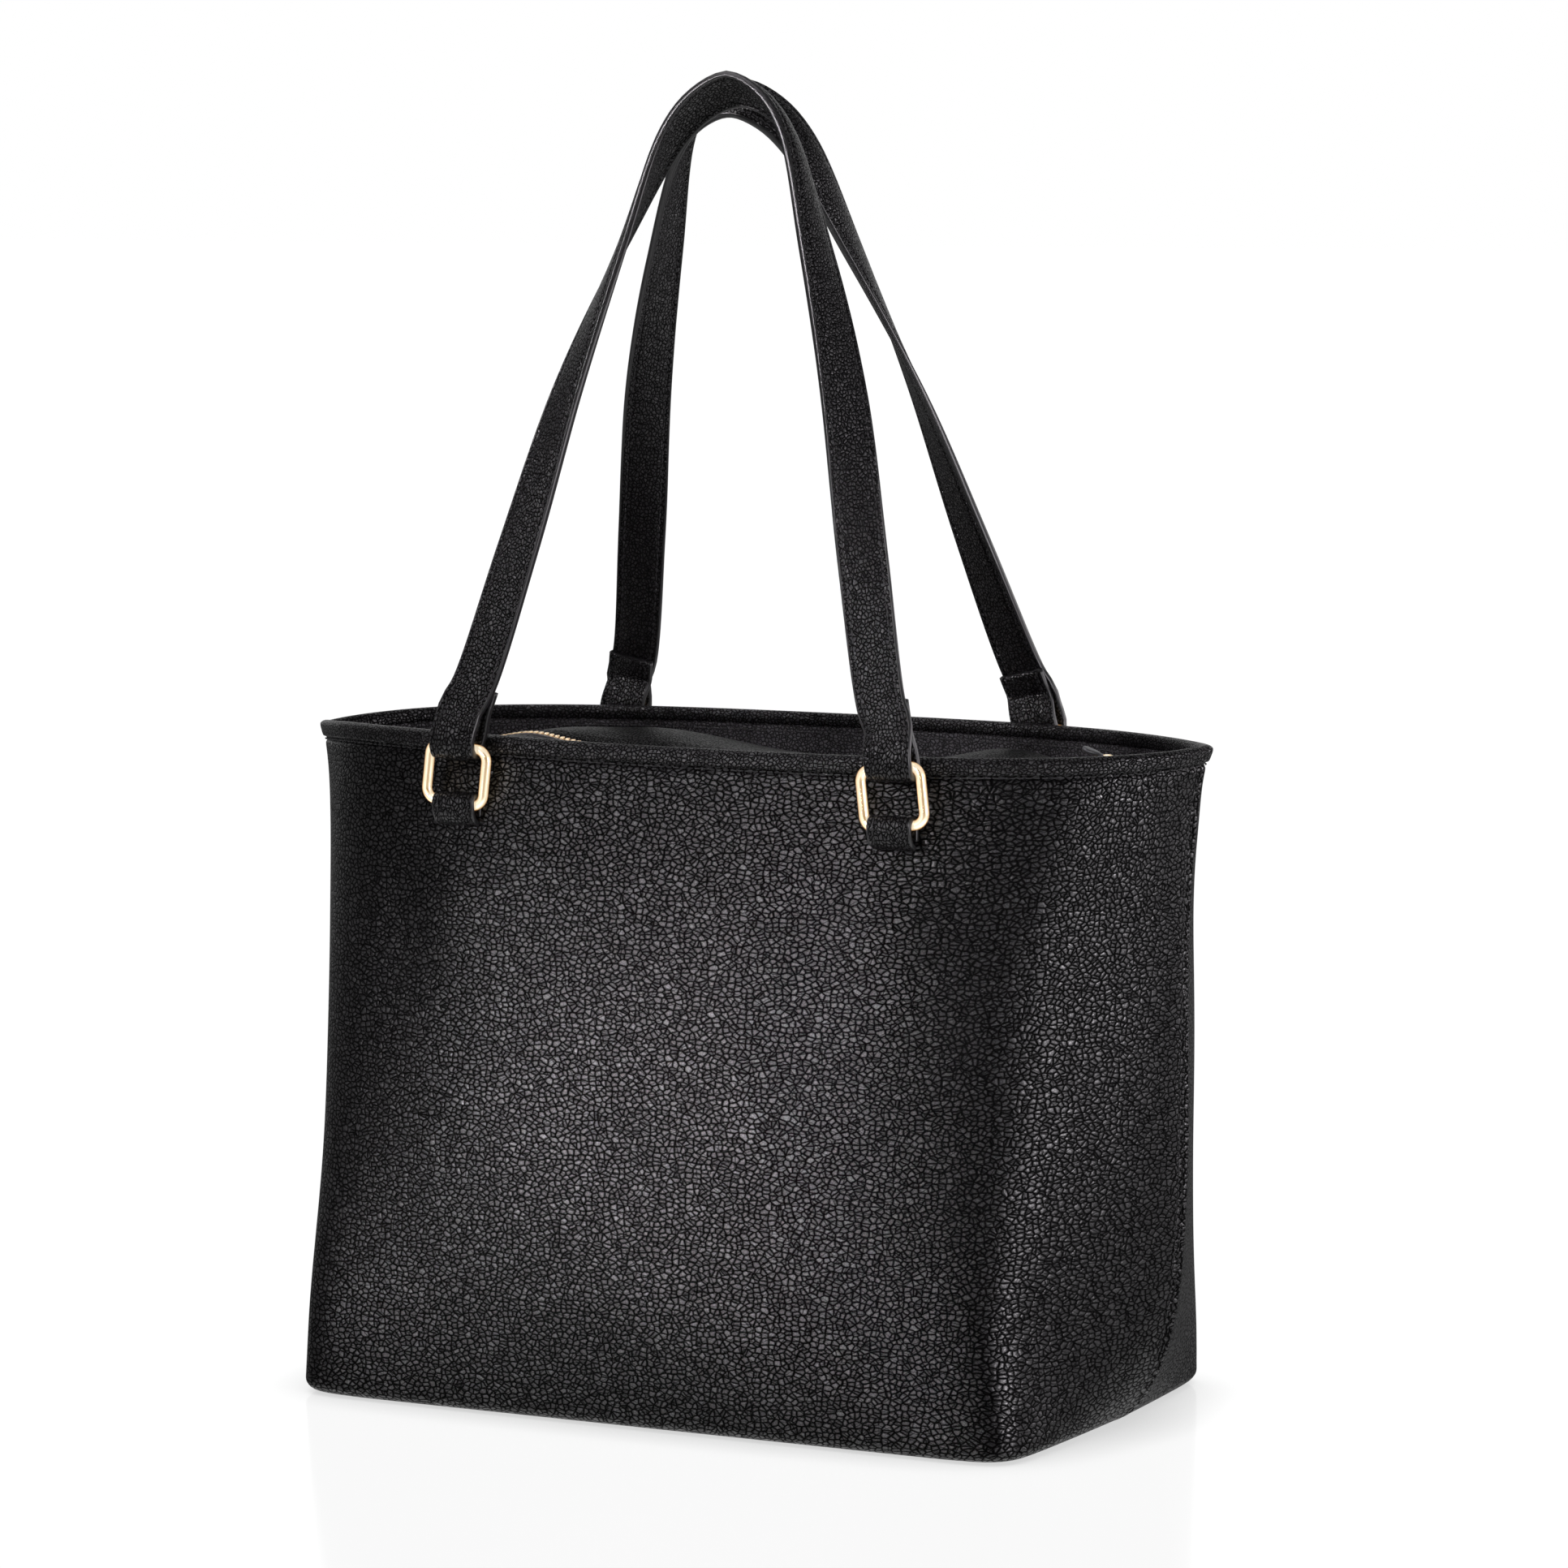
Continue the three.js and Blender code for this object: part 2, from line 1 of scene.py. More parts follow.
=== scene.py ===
"""Looks of the diaper bag: black pebbled leather and pale gold hardware in a white studio.

Shapes are worked out in millimetres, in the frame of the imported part, and each mesh is turned into metres as
it is made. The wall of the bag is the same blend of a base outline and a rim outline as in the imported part.
"""

import json
import math

import bpy
import numpy as np
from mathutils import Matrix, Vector


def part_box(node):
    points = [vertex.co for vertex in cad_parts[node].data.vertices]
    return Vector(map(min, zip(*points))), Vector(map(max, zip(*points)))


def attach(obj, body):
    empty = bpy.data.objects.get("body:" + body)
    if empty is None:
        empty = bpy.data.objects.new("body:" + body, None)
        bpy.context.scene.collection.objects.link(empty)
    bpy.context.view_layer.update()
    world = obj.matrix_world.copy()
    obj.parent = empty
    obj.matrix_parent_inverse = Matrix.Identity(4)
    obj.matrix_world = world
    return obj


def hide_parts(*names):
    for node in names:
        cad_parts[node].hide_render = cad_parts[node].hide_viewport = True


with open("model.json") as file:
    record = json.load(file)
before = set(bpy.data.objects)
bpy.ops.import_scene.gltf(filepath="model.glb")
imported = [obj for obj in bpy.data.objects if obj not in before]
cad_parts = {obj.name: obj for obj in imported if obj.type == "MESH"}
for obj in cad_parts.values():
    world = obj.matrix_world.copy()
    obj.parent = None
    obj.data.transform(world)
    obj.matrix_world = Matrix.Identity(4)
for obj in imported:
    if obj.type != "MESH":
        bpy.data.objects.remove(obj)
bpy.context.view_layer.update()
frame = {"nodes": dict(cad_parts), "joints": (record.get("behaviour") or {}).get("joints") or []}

MM = 0.001
FRONT, BACK = -1, 1
LEFT, RIGHT = -1, 1
FACES = {"front": FRONT, "back": BACK}
HANDS = {"left": LEFT, "right": RIGHT}
dice = np.random.default_rng(7)


# ---- sizes

def box_mm(node):
    low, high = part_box(node)
    return np.array(low) / MM, np.array(high) / MM


RIM_Z = box_mm("front_rim_binding")[1][2] - 1
RIM_STITCH_Z = 273.2

# The two outlines are flattened ovals: nx and ny say how square they are along x and along y.
BASE = {"half_width": 168, "half_depth": 104, "side_bulge": 3, "nx": 20, "ny": 14}
RIM = {"half_width": 209.5, "half_depth": 80, "side_bulge": 0, "nx": 3.2, "ny": 1.4}
OUTLINE_SAMPLES = 300
BASE_TIP = BASE["half_width"] + BASE["side_bulge"]
SEAM_HALF_WIDTH = 200
SEAM_FOOT_CURVE = 26
SEAM_RIM_FLARE = 12
SEAM_STITCH_AWAY = 4.6
SEAM_GAP = 0.01
BASE_FOLD = 98  # distance from the seam to the corner fold, along the base and along the rim
RIM_FOLD = 62
FOLD_U = 0.6
FOLD_DRAWN_IN = 10
FOLD_ROUNDING = 0.085  # in units of u
SIDE_RUN = 250  # millimetres of wall for each unit of u, on the side panels
FACE_BULGE = 11
RIPPLE_COUNT = 12
RIPPLE_HEIGHT = 1.7
RING_U = (-0.33, 0.37)
PANEL_T = 2.4
PANEL_ROLL = 5.5
FACING_DEPTH = 40
FLAP_T = 1.2

STITCH_PITCH = 3.3
STITCH_LENGTH = 2.5
STITCH_W = 0.62
STITCH_SUNK = 0.1

RING_LOW, RING_HIGH = box_mm("front_ring_right")
RING_X = (RING_LOW[0] - box_mm("front_ring_left")[0][0]) / 2
RING_SHIFT = (RING_LOW[0] + RING_HIGH[0]) / 2 - RING_X
RING_Y = (RING_LOW[1] + RING_HIGH[1]) / 2
RING_WIRE = 2.1  # radius of the wire
RING_W = RING_HIGH[0] - RING_LOW[0] - 2 * RING_WIRE
RING_FOOT_Z = RING_LOW[2] + RING_WIRE
RING_TOP_Z = RING_HIGH[2] - RING_WIRE
RING_CORNER = 5.0
RING_LEAN = math.radians(6.5)

STRAP_W = 20.4
STRAP_T = 3.0
STRAP_MARGIN = 2.6
STRAP_GROOVE = 0.35
TAB_W = 19.4
TAB_T = 2.0
TAB_MARGIN = 2.6
TAB_FOOT_Z = box_mm("front_tab_right")[0][2] + 2
HANDLE_TOP = {"front": (-27, 552.5), "back": (5, 549)}
LATE_TURN = {"front": (2, 1.25), "back": (1.3, 1.4)}  # how late the left and right legs turn
# half the distance between the legs, and the share of the height from the foot to the top
HANDLE_LEG = [(94.5, 0), (80, 0.23), (64.5, 0.49), (46, 0.73), (29, 0.915), (16, 0.975)]
HANDLE_FOOT_Z = 303
TOP_TWIST = math.radians(118)

ZIP_LOW, ZIP_HIGH = box_mm("front_zip_teeth")
ZIP_END = ZIP_HIGH[0]
ZIP_Z = (ZIP_LOW[2] + ZIP_HIGH[2]) / 2
ZIP_RISE_X = -106
ZIP_RISE = 4.2
TEETH_PITCH = 2.6
CLOSURE_WALL_Z = box_mm("front_zip_panel")[0][2]
CLOSURE_INSET = 5.2
CLOSURE_END = box_mm("front_zip_panel")[1][0]
CLOSURE_EDGE_Y = 5.6
HUMPS = {FRONT: [(-110, 4.5, 50), (30, 2.5, 60)], BACK: [(-68, 9.0, 48), (104, 7.5, 26)]}  # x, height, width


# ---- small helpers

def smoothstep(low, high, value):
    t = np.clip((value - low) / (high - low), 0, 1)
    return t * t * (3 - 2 * t)


def bell(value, centre, spread):
    """1 at the centre, and nearly 0 two spreads away."""
    return np.exp(-(((value - centre) / spread) ** 2))


def running(steps):
    """Distance run at each point, from the steps between them."""
    return np.concatenate([[0], np.cumsum(steps)])


def path_run(path):
    return running(np.linalg.norm(np.diff(path, axis=0), axis=1))


def circle(count):
    """Angles evenly spaced round a full turn."""
    return np.linspace(0, 2 * math.pi, count + 1)[:-1]


def squared_off(values, power):
    """Sines or cosines pushed outwards, which turns a circle towards a square."""
    return np.sign(values) * np.abs(values) ** power


# ---- the wall of the bag

def quarter_outline(half_width, half_depth, side_bulge, nx, ny):
    """x, y and distance run, from the side seam to the middle of a face."""
    corner_x = half_width * 0.5 ** (1 / nx)
    corner_y = half_depth * 0.5 ** (1 / ny)
    side_y = np.linspace(0, corner_y, OUTLINE_SAMPLES)
    side_x = half_width * (1 - (side_y / half_depth) ** ny) ** (1 / nx)
    face_x = np.linspace(corner_x, 0, OUTLINE_SAMPLES)[1:]
    face_y = half_depth * (1 - (face_x / half_width) ** nx) ** (1 / ny)
    y = np.concatenate([side_y, face_y])
    x = np.concatenate([side_x, face_x]) + side_bulge * (1 - (y / half_depth) ** 2)
    return x, y, running(np.hypot(np.diff(x), np.diff(y)))


BASE_OUTLINE = quarter_outline(**BASE)
RIM_OUTLINE = quarter_outline(**RIM)


def rim_wobble(u, side):
    """How far the rim stands off level: a real rim is never quite straight."""
    tips = np.where(u < 0, -4.0, 3.0) * np.abs(u) ** 4
    face = np.where(side < 0, 1.6 * bell(u, -0.45, 0.3), 1.2 * (1 - u**2))
    return tips + face * (1 - np.abs(u) ** 4)


# wave, turn and phase of each ripple
RIPPLES = [(dice.uniform(5, 14), dice.uniform(-16, 16), dice.uniform(0, 6.28)) for _ in range(RIPPLE_COUNT)]


def dents(u, z, side):
    """How far the leather stands off its drawn shape, outwards: pulls at the rings and slow ripples."""
    height = z / RIM_Z
    fade = smoothstep(0.0, 0.16, height) * (1 - smoothstep(0.86, 0.97, height))
    pull = np.zeros_like(u)
    for ring_u in RING_U:
        below = bell(u, ring_u, 0.08) * bell(height, 0.77, 0.06)
        beside = bell(u, ring_u - 0.11, 0.06) * bell(height, 0.7, 0.12)
        pull = pull + 1.5 * below - 1.2 * beside
    front, back = np.zeros_like(u), np.zeros_like(u)
    for k, (wave, turn, phase) in enumerate(RIPPLES):
        ripple = np.sin(wave * u + turn * height + phase) / wave * RIPPLE_HEIGHT
        front, back = (front + ripple, back) if k % 2 else (front, back + ripple)
    return fade * (pull + np.where(side < 0, front, back))


def drawn_wall(u, z, side):
    """x and y of the wall as drawn, with crisp corner folds."""
    share = np.clip(z / RIM_Z, 0, 1)
    away = np.abs(u)
    on_side = away > FOLD_U
    part = np.where(on_side, (1 - away) / (1 - FOLD_U), (FOLD_U - away) / FOLD_U)

    def along(outline, fold):
        x, y, run = outline
        distance = np.where(on_side, part * fold, fold + part * (run[-1] - fold))
        return np.interp(distance, run, x), np.interp(distance, run, y)

    low_x, low_y = along(BASE_OUTLINE, BASE_FOLD)
    high_x, high_y = along(RIM_OUTLINE, RIM_FOLD)
    seam_x = BASE_TIP + (SEAM_HALF_WIDTH - BASE_TIP) * (1 - np.exp(-np.maximum(z, 0) / SEAM_FOOT_CURVE))
    seam_x = seam_x + (RIM["half_width"] - SEAM_HALF_WIDTH) * share**SEAM_RIM_FLARE
    drawn_reach = BASE_TIP + (RIM["half_width"] - BASE_TIP) * share
    swell = np.where(on_side, (1 - part) ** np.where(u < 0, 1.6, 1.1), 0)
    belly = FACE_BULGE * np.sin(math.pi * share) ** 0.8 * np.where(on_side, 0, np.sin(math.pi / 2 * part))
    beside_fold = smoothstep(0.33, FOLD_U, away) * (1 - smoothstep(FOLD_U, 1, away))
    slack = smoothstep(0, 0.2, share) * (1 - smoothstep(0.6, 1, share))
    drawn_in = np.where((u > 0) & (side < 0), FOLD_DRAWN_IN, 0) * beside_fold * slack
    x = low_x + (high_x - low_x) * share + swell * (seam_x - drawn_reach) - drawn_in
    return np.sign(u) * x, low_y + (high_y - low_y) * share + belly


def wall(u, z, inset=0.0, side=FRONT):
    """Points of the wall, or set in from it. u runs from the left seam (-1) across a face to the right (1).

    The folds are crisp at the base and grow round above it: there the drawn wall is averaged over a width.
    """
    u, z, inset, side = np.broadcast_arrays(*(np.asarray(value, float) for value in (u, z, inset, side)))
    share = np.clip(z / RIM_Z, 0, 1)
    width = FOLD_ROUNDING * smoothstep(0, 0.4, share) * (1 - 0.6 * smoothstep(0.8, 1, share))
    width = np.minimum(width, 0.98 * (1 - np.abs(u)))
    x, y, total = 0, 0, 0
    for offset in np.linspace(-1, 1, 9):
        weight = (1 - (0.9 * offset) ** 2) ** 2
        near_x, near_y = drawn_wall(u + offset * width, z, side)
        x, y, total = x + weight * near_x, y + weight * near_y, total + weight
    x, y = x / total, y / total
    reach_x = BASE_TIP + (RIM["half_width"] - BASE_TIP) * share
    reach_y = BASE["half_depth"] + (RIM["half_depth"] - BASE["half_depth"]) * share
    inset = inset - dents(u, z, side)
    x = x * (1 - inset / reach_x)
    y = side * (y * (1 - inset / reach_y) + SEAM_GAP)
    return np.stack([x, y, z + rim_wobble(u, side) * smoothstep(0.7, 1, share)], axis=-1)


def spread(us, profile):
    """u, inset and z for a profile of (inset, z) points repeated at each u."""
    profile = np.asarray(profile, float)
    u, inset = np.meshgrid(us, profile[:, 0], indexing="ij")
    return u, inset, np.broadcast_to(profile[:, 1], u.shape)


def u_at_x(x, z, inset):
    us = np.linspace(0, 1, 2000)
    return float(np.interp(x, wall(us, z, inset)[:, 0], us))


# ---- meshes from runs of sections

class Shape:
    """Vertices in millimetres, faces, and surface coordinates in metres for each corner of a face."""

    def __init__(self):
        self.points = []
        self.faces = []
        self.coords = []
        self.count = 0

    def run(self, sections, closed=False):
        """Skins a run of sections, an array of [section, point, xyz], and caps its ends unless closed."""
        sections = np.asarray(sections, float)
        rows, columns = sections.shape[:2]
        start = self.count
        self.points.append(sections.reshape(-1, 3))
        self.count += rows * columns

        def distances(points, is_loop):
            loop = np.concatenate([points, points[:1]]) if is_loop else points
            return running(np.linalg.norm(np.diff(loop, axis=0), axis=-1).mean(axis=1)) * MM

        along = distances(sections, closed)
        across = distances(np.swapaxes(sections, 0, 1), True)
        for i in range(rows if closed else rows - 1):
            for j in range(columns):
                steps = [(i, j), (i, j + 1), (i + 1, j + 1), (i + 1, j)]
                self.faces.append([start + row % rows * columns + column % columns for row, column in steps])
                self.coords.extend((along[row], across[column]) for row, column in steps)
        if not closed:
            for row, order in ((0, -1), (rows - 1, 1)):
                columns_in_turn = range(columns)[::order]
                self.faces.append([start + row * columns + j for j in columns_in_turn])
                self.coords.extend((along[row], across[j]) for j in columns_in_turn)
        return self

    def object(self, name, material, body="bag", slot=None, smooth=True):
        """Makes the piece. One that has the name of a CAD node stands for that node."""
        mesh = bpy.data.meshes.new(name)
        points = np.concatenate(self.points) * MM
        mesh.from_pydata(points.tolist(), [], self.faces)
        layer = mesh.uv_layers.new(name="grain")
        layer.data.foreach_set("uv", np.asarray(self.coords, np.float32).ravel())
        mesh.polygons.foreach_set("use_smooth", [smooth] * len(mesh.polygons))
        mesh.validate()
        piece = bpy.data.objects.new(name, mesh)
        bpy.context.scene.collection.objects.link(piece)
        turn_outward(mesh)
        mesh.materials.append(material)
        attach(piece, body)
        if name in frame["nodes"]:
            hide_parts(name)


def turn_outward(mesh):
    """Flips the mesh if its enclosed volume comes out negative."""
    mesh.calc_loop_triangles()
    corners = np.empty(len(mesh.loop_triangles) * 3, np.int32)
    mesh.loop_triangles.foreach_get("vertices", corners)
    points = np.empty(len(mesh.vertices) * 3, np.float32)
    mesh.vertices.foreach_get("co", points)
    a, b, c = points.reshape(-1, 3)[corners.reshape(-1, 3)].transpose(1, 0, 2)
    if np.einsum("ij,ij->i", a, np.cross(b, c)).sum() < 0:
        mesh.flip_normals()


def unit(vectors):
    return vectors / np.linalg.norm(vectors, axis=-1, keepdims=True)


def rounded(corners, closed=True, per_corner=6):
    """A smooth curve through points: a centripetal Catmull-Rom spline."""
    corners = np.asarray(corners, float)
    if closed:
        padded = np.concatenate([corners[-1:], corners, corners[:2]])
    else:
        before, after = 2 * corners[:1] - corners[1:2], 2 * corners[-1:] - corners[-2:-1]
        padded = np.concatenate([before, corners, after])
    stretches = []
    for p in zip(padded, padded[1:], padded[2:], padded[3:]):
        knots = running([np.linalg.norm(b - a) ** 0.5 for a, b in zip(p, p[1:])])
        t = (knots[1] + (knots[2] - knots[1]) * np.arange(per_corner) / per_corner)[:, None]

        def blend(a, b, i, j):
            return ((knots[j] - t) * a + (t - knots[i]) * b) / (knots[j] - knots[i])

        first, second, third = (blend(p[i], p[i + 1], i, i + 1) for i in range(3))
        stretches.append(blend(blend(first, second, 0, 2), blend(second, third, 1, 3), 1, 2))
    if not closed:
        stretches.append(corners[-1:])
    return np.concatenate(stretches)


def even(path, step):
    """The same path, sampled at even distances near step."""
    path = np.asarray(path, float)
    run = path_run(path)
    at = np.linspace(0, run[-1], max(2, int(round(run[-1] / step)) + 1))
    return np.stack([np.interp(at, run, path[:, k]) for k in range(path.shape[1])], axis=1)


# ---- materials

class Nodes:
    """A short way to write the node tree of a material, or of the world."""

    def __init__(self, name, kind="materials"):
        self.owner = getattr(bpy.data, kind).new(name)
        self.owner.use_nodes = True
        self.tree = self.owner.node_tree
        self.tree.nodes.clear()

    def node(self, kind, inputs=None, **settings):
        node = self.tree.nodes.new(kind)
        for key, value in settings.items():
            setattr(node, key, value)
        for key, value in (inputs or {}).items():
            self.put(node.inputs[key], value)
        return node

    def add(self, kind, inputs=None, output=0, **settings):
        """Adds a node, and returns its first output or the one asked for."""
        return self.node(kind, inputs, **settings).outputs[output]

    def put(self, socket, value):
        if isinstance(value, bpy.types.NodeSocket):
            self.tree.links.new(value, socket)
        else:
            socket.default_value = value

    def math(self, operation, a, b):
        return self.add("ShaderNodeMath", {0: a, 1: b}, operation=operation)

    def plus(self, a, b):
        return self.math("ADD", a, b)

    def times(self, a, b):
        return self.math("MULTIPLY", a, b)

    def vector(self, operation, a, b, output=0):
        return self.add("ShaderNodeVectorMath", {0: a, 1: b}, output, operation=operation)

    def dot(self, a, b):
        return self.vector("DOT_PRODUCT", a, b, "Value")

    def remap(self, value, from_low, from_high, to_low, to_high, kind="SMOOTHSTEP"):
        inputs = dict(enumerate((value, from_low, from_high, to_low, to_high)))
        return self.add("ShaderNodeMapRange", inputs, interpolation_type=kind)

    def straight(self, value, from_low, from_high, to_low, to_high):
        return self.remap(value, from_low, from_high, to_low, to_high, "LINEAR")

    def mix_color(self, factor, a, b):
        return self.add("ShaderNodeMix", {0: factor, 6: a, 7: b}, 2, data_type="RGBA")

    def noise(self, coordinate, scale, detail=2.0, output="Fac"):
        inputs = {"Vector": coordinate, "Scale": scale, "Detail": detail}
        return self.add("ShaderNodeTexNoise", inputs, output)

    def voronoi(self, coordinate, scale, feature, output):
        inputs = {"Vector": coordinate, "Scale": scale}
        return self.add("ShaderNodeTexVoronoi", inputs, output, feature=feature, voronoi_dimensions="2D")

    def to_edge(self, coordinate, scale):
        """Distance to the nearest edge between cells."""
        return self.voronoi(coordinate, scale, "DISTANCE_TO_EDGE", "Distance")

    def grain(self):
        """The surface coordinates, in metres."""
        return self.add("ShaderNodeUVMap", uv_map="grain")

    def place(self):
        return self.add("ShaderNodeTexCoord", output="Object")

    def bump(self, height, strength, distance, **under):
        """A bump in millimetres."""
        inputs = {"Height": height, "Strength": strength, "Distance": distance * MM, **under}
        return self.add("ShaderNodeBump", inputs)

    def principled(self, color, roughness, normal, inputs=None):
        named = {"Base Color": color, "Roughness": roughness, "Normal": normal, **(inputs or {})}
        return self.finish(self.add("ShaderNodeBsdfPrincipled", named))

    def finish(self, shader, output="ShaderNodeOutputMaterial"):
        self.node(output, {"Surface": shader})
        return self.owner


def gray(value):
    return (value, value, value, 1.0)


def long_creases(n, place, scale, turn, width):
    """1 between long creases that run at an angle across the grain, and nearly 0 in them."""
    turned = n.add("ShaderNodeVectorRotate", {"Vector": place, "Angle": math.radians(turn)})
    drawn_out = n.vector("MULTIPLY", turned, (0.42, 1.0, 1.0))
    return n.remap(n.to_edge(drawn_out, scale), 0.0, width, 0.12, 1.0)


def pebbled_leather(name, pebble=2.1, stretch=0.72, height=0.13, top=0.006, rough=0.35, shine=1.0):
    """Pebbled leather: irregular domed cells of unequal gloss, parted by matt creases, with finer wrinkles.

    pebble is the size of a cell and height its depth, both in millimetres. top is the colour of its crown;
    towards the creases the colour is painted darker, as painted shade on each dome.
    """
    n = Nodes(name)
    grain = n.grain()
    drift = n.vector("SUBTRACT", n.noise(grain, 260, output="Color"), (0.5, 0.5, 0.5))
    warped = n.vector("ADD", grain, n.vector("MULTIPLY", drift, (0.0011, 0.0011, 0.0011)))
    warped = n.vector("MULTIPLY", warped, (stretch, 1.0, 1.0))
    scale = 1000 / pebble
    edge = n.to_edge(warped, scale)
    wrinkle = n.to_edge(warped, scale * 2.2)
    chance = n.node("ShaderNodeSeparateColor", {"Color": n.voronoi(warped, scale, "F1", "Color")}).outputs
    fine = n.noise(grain, 2600)
    broad = n.noise(grain, 38, 3.0)

    falling = long_creases(n, warped, scale * 0.62, 24, 0.07)
    rising = long_creases(n, warped, scale * 0.5, -38, 0.055)
    between = n.times(falling, rising)
    flat_top = n.times(n.remap(edge, 0.0, 0.2, 0.0, 1.0), between)
    dome = n.remap(edge, 0.0, 0.45, 0.0, 1.0)
    smooth_part = n.remap(wrinkle, 0.0, 0.14, 0.0, 1.0)
    pebbles = n.plus(n.times(flat_top, 0.5), n.times(dome, 0.8))
    details = n.plus(n.times(smooth_part, 0.16), n.times(fine, 0.06))
    bump = n.bump(n.plus(pebbles, details), 1.0, height)
    swell = n.bump(broad, 0.5, 0.35, Normal=bump)

    # painted shade: this share runs from 1 on each crown to 0 in the creases; it darkens the colour into the
    # creases and also sets the gloss
    crown = n.times(n.remap(edge, 0.02, 0.34, 0.0, 1.0), between)
    crown_gloss_and_painted_shade = n.times(crown, n.straight(smooth_part, 0.0, 1.0, 0.35, 1.0))
    # the creases get a fifth of the crown colour: painted shade
    color = n.mix_color(crown_gloss_and_painted_shade, gray(0.2 * top), (top, 0.94 * top, 1.06 * top, 1.0))
    unequal = n.math("POWER", chance["Red"], 1.6)
    gloss = n.plus(n.times(crown_gloss_and_painted_shade, n.straight(unequal, 0.0, 1.0, 0.5 * shine, 1.0 * shine)), 0.01)
    cell_matt = n.straight(chance["Green"], 0.0, 1.0, rough - 0.02, rough + 0.06)
    matt = n.plus(cell_matt, n.remap(broad, 0.3, 0.7, -0.02, 0.02))
    return n.principled(color, matt, swell, {"Specular IOR Level": gloss})


# painted reflection: tones the gold glows with, for the room it mirrors, from where it faces the eye (0) to
# where it turns away (1)
GOLD_FACING = (0.45, 0.26, 0.1, 1)
GOLD_BANDS = {0.06: (1.0, 0.88, 0.68, 1), 0.42: (1.0, 0.8, 0.52, 1), 0.62: (0.5, 0.25, 0.08, 1)}
GOLD_AWAY = (0.16, 0.06, 0.015, 1)


def gold(name, rough, glow):
    """Polished pale gold plating with faint smudges. The glow is a painted reflection of the white room it
    mirrors.
    """
    n = Nodes(name)
    place = n.place()
    smudge = n.noise(place, 240, 3.0)
    brush = n.noise(n.vector("MULTIPLY", place, (1.0, 1.0, 9.0)), 900)
    color = n.mix_color(smudge, (0.86, 0.63, 0.36, 1), (0.95, 0.76, 0.5, 1))
    ramp = n.node("ShaderNodeValToRGB", {0: n.add("ShaderNodeLayerWeight", {"Blend": 0.5}, "Facing")})
    bands = ramp.color_ramp.elements
    bands[0].position, bands[0].color = 0.0, GOLD_FACING
    bands[1].position, bands[1].color = 0.95, GOLD_AWAY
    for position, tone in GOLD_BANDS.items():
        bands.new(position).color = tone
    matt = n.remap(smudge, 0.3, 0.7, rough - 0.04, rough + 0.07)
    shine = {"Emission Color": ramp.outputs["Color"], "Emission Strength": glow, "Metallic": 1.0}
    return n.principled(color, matt, n.bump(brush, 0.12, 0.05), shine)


def darker(color, share):
    return tuple(share * channel for channel in color) + (1.0,)


def woven(name, color, pitch):
    """A plain weave: two crossed families of threads, with a mottled colour."""
    n = Nodes(name)
    grain = n.grain()
    split = n.node("ShaderNodeSeparateXYZ", {"Vector": grain}).outputs
    turns = 2 * math.pi * 1000 / pitch
    warp, weft = (n.math("SINE", n.times(split[way], turns), 0.0) for way in "XY")
    weave = n.plus(n.times(n.times(warp, weft), 0.5), 0.5)
    mottled = n.times(weave, n.noise(grain, 60, 3.0))
    paint = n.mix_color(mottled, darker(color, 0.55), darker(color, 1))
    return n.principled(paint, 0.85, n.bump(weave, 0.8, 0.12), {"Sheen Weight": 0.3})


def plain(name, color, rough, grain_scale=900, bump=0.05):
    """A smooth finish with a fine grain, for thread, edge paint and board."""
    n = Nodes(name)
    speck = n.noise(n.place(), grain_scale, 3.0)
    paint = n.mix_color(speck, darker(color, 0.7), darker(color, 1))
    return n.principled(paint, rough, n.bump(speck, 0.6, bump))


TRIM_GRAIN = {"pebble": 1.5, "stretch": 0.85, "height": 0.12}
CLOSURE_GRAIN = {"pebble": 1.4, "stretch": 0.8, "height": 0.1}
body_leather = pebbled_leather("body_leather")
# painted light: the trim is a lighter copy of the body leather, its crown colour raised to stand in for fill
# light on the straps, tabs and rim
lit_trim_leather = pebbled_leather("lit_trim_leather", **TRIM_GRAIN, top=0.011)
# painted light: the facing is a much lighter copy of the same leather, painted as if lit inside the bag
lit_facing_leather = pebbled_leather("lit_facing_leather", **TRIM_GRAIN, top=0.06, rough=0.45)
# painted shade: the closure flaps are a darker copy of the same leather, their crown colour lowered to read as
# shaded
shaded_closure_leather = pebbled_leather("shaded_closure_leather", **CLOSURE_GRAIN, top=0.003, rough=0.42, shine=0.4)
thread = plain("black_thread", (0.012, 0.012, 0.013), 0.6)
edge_paint = plain("edge_paint", (0.01, 0.01, 0.0105), 0.35)
gold_metal = gold("pale_gold", 0.2, 0.8)
zip_gold = gold("zip_gold", 0.28, 0.12)
tape_weave = woven("zip_tape_weave", (0.012, 0.012, 0.013), pitch=0.6)
lining_weave = woven("lining_weave", (0.3, 0.28, 0.25), pitch=0.5)
board = plain("stiffener_board", (0.03, 0.03, 0.03), 0.8, 300)
pull_finish = plain("pull_leather", (0.035, 0.037, 0.04), 0.42, 1200, 0.08)


# ---- stitches

# place along a stitch, thickness and height, in shares of its length and width
STITCH_PROFILE = [(-0.5, 0.3, -0.3), (-0.36, 0.9, 0.05), (0, 1.0, 0.3), (0.36, 0.9, 0.05), (0.5, 0.3, -0.3)]


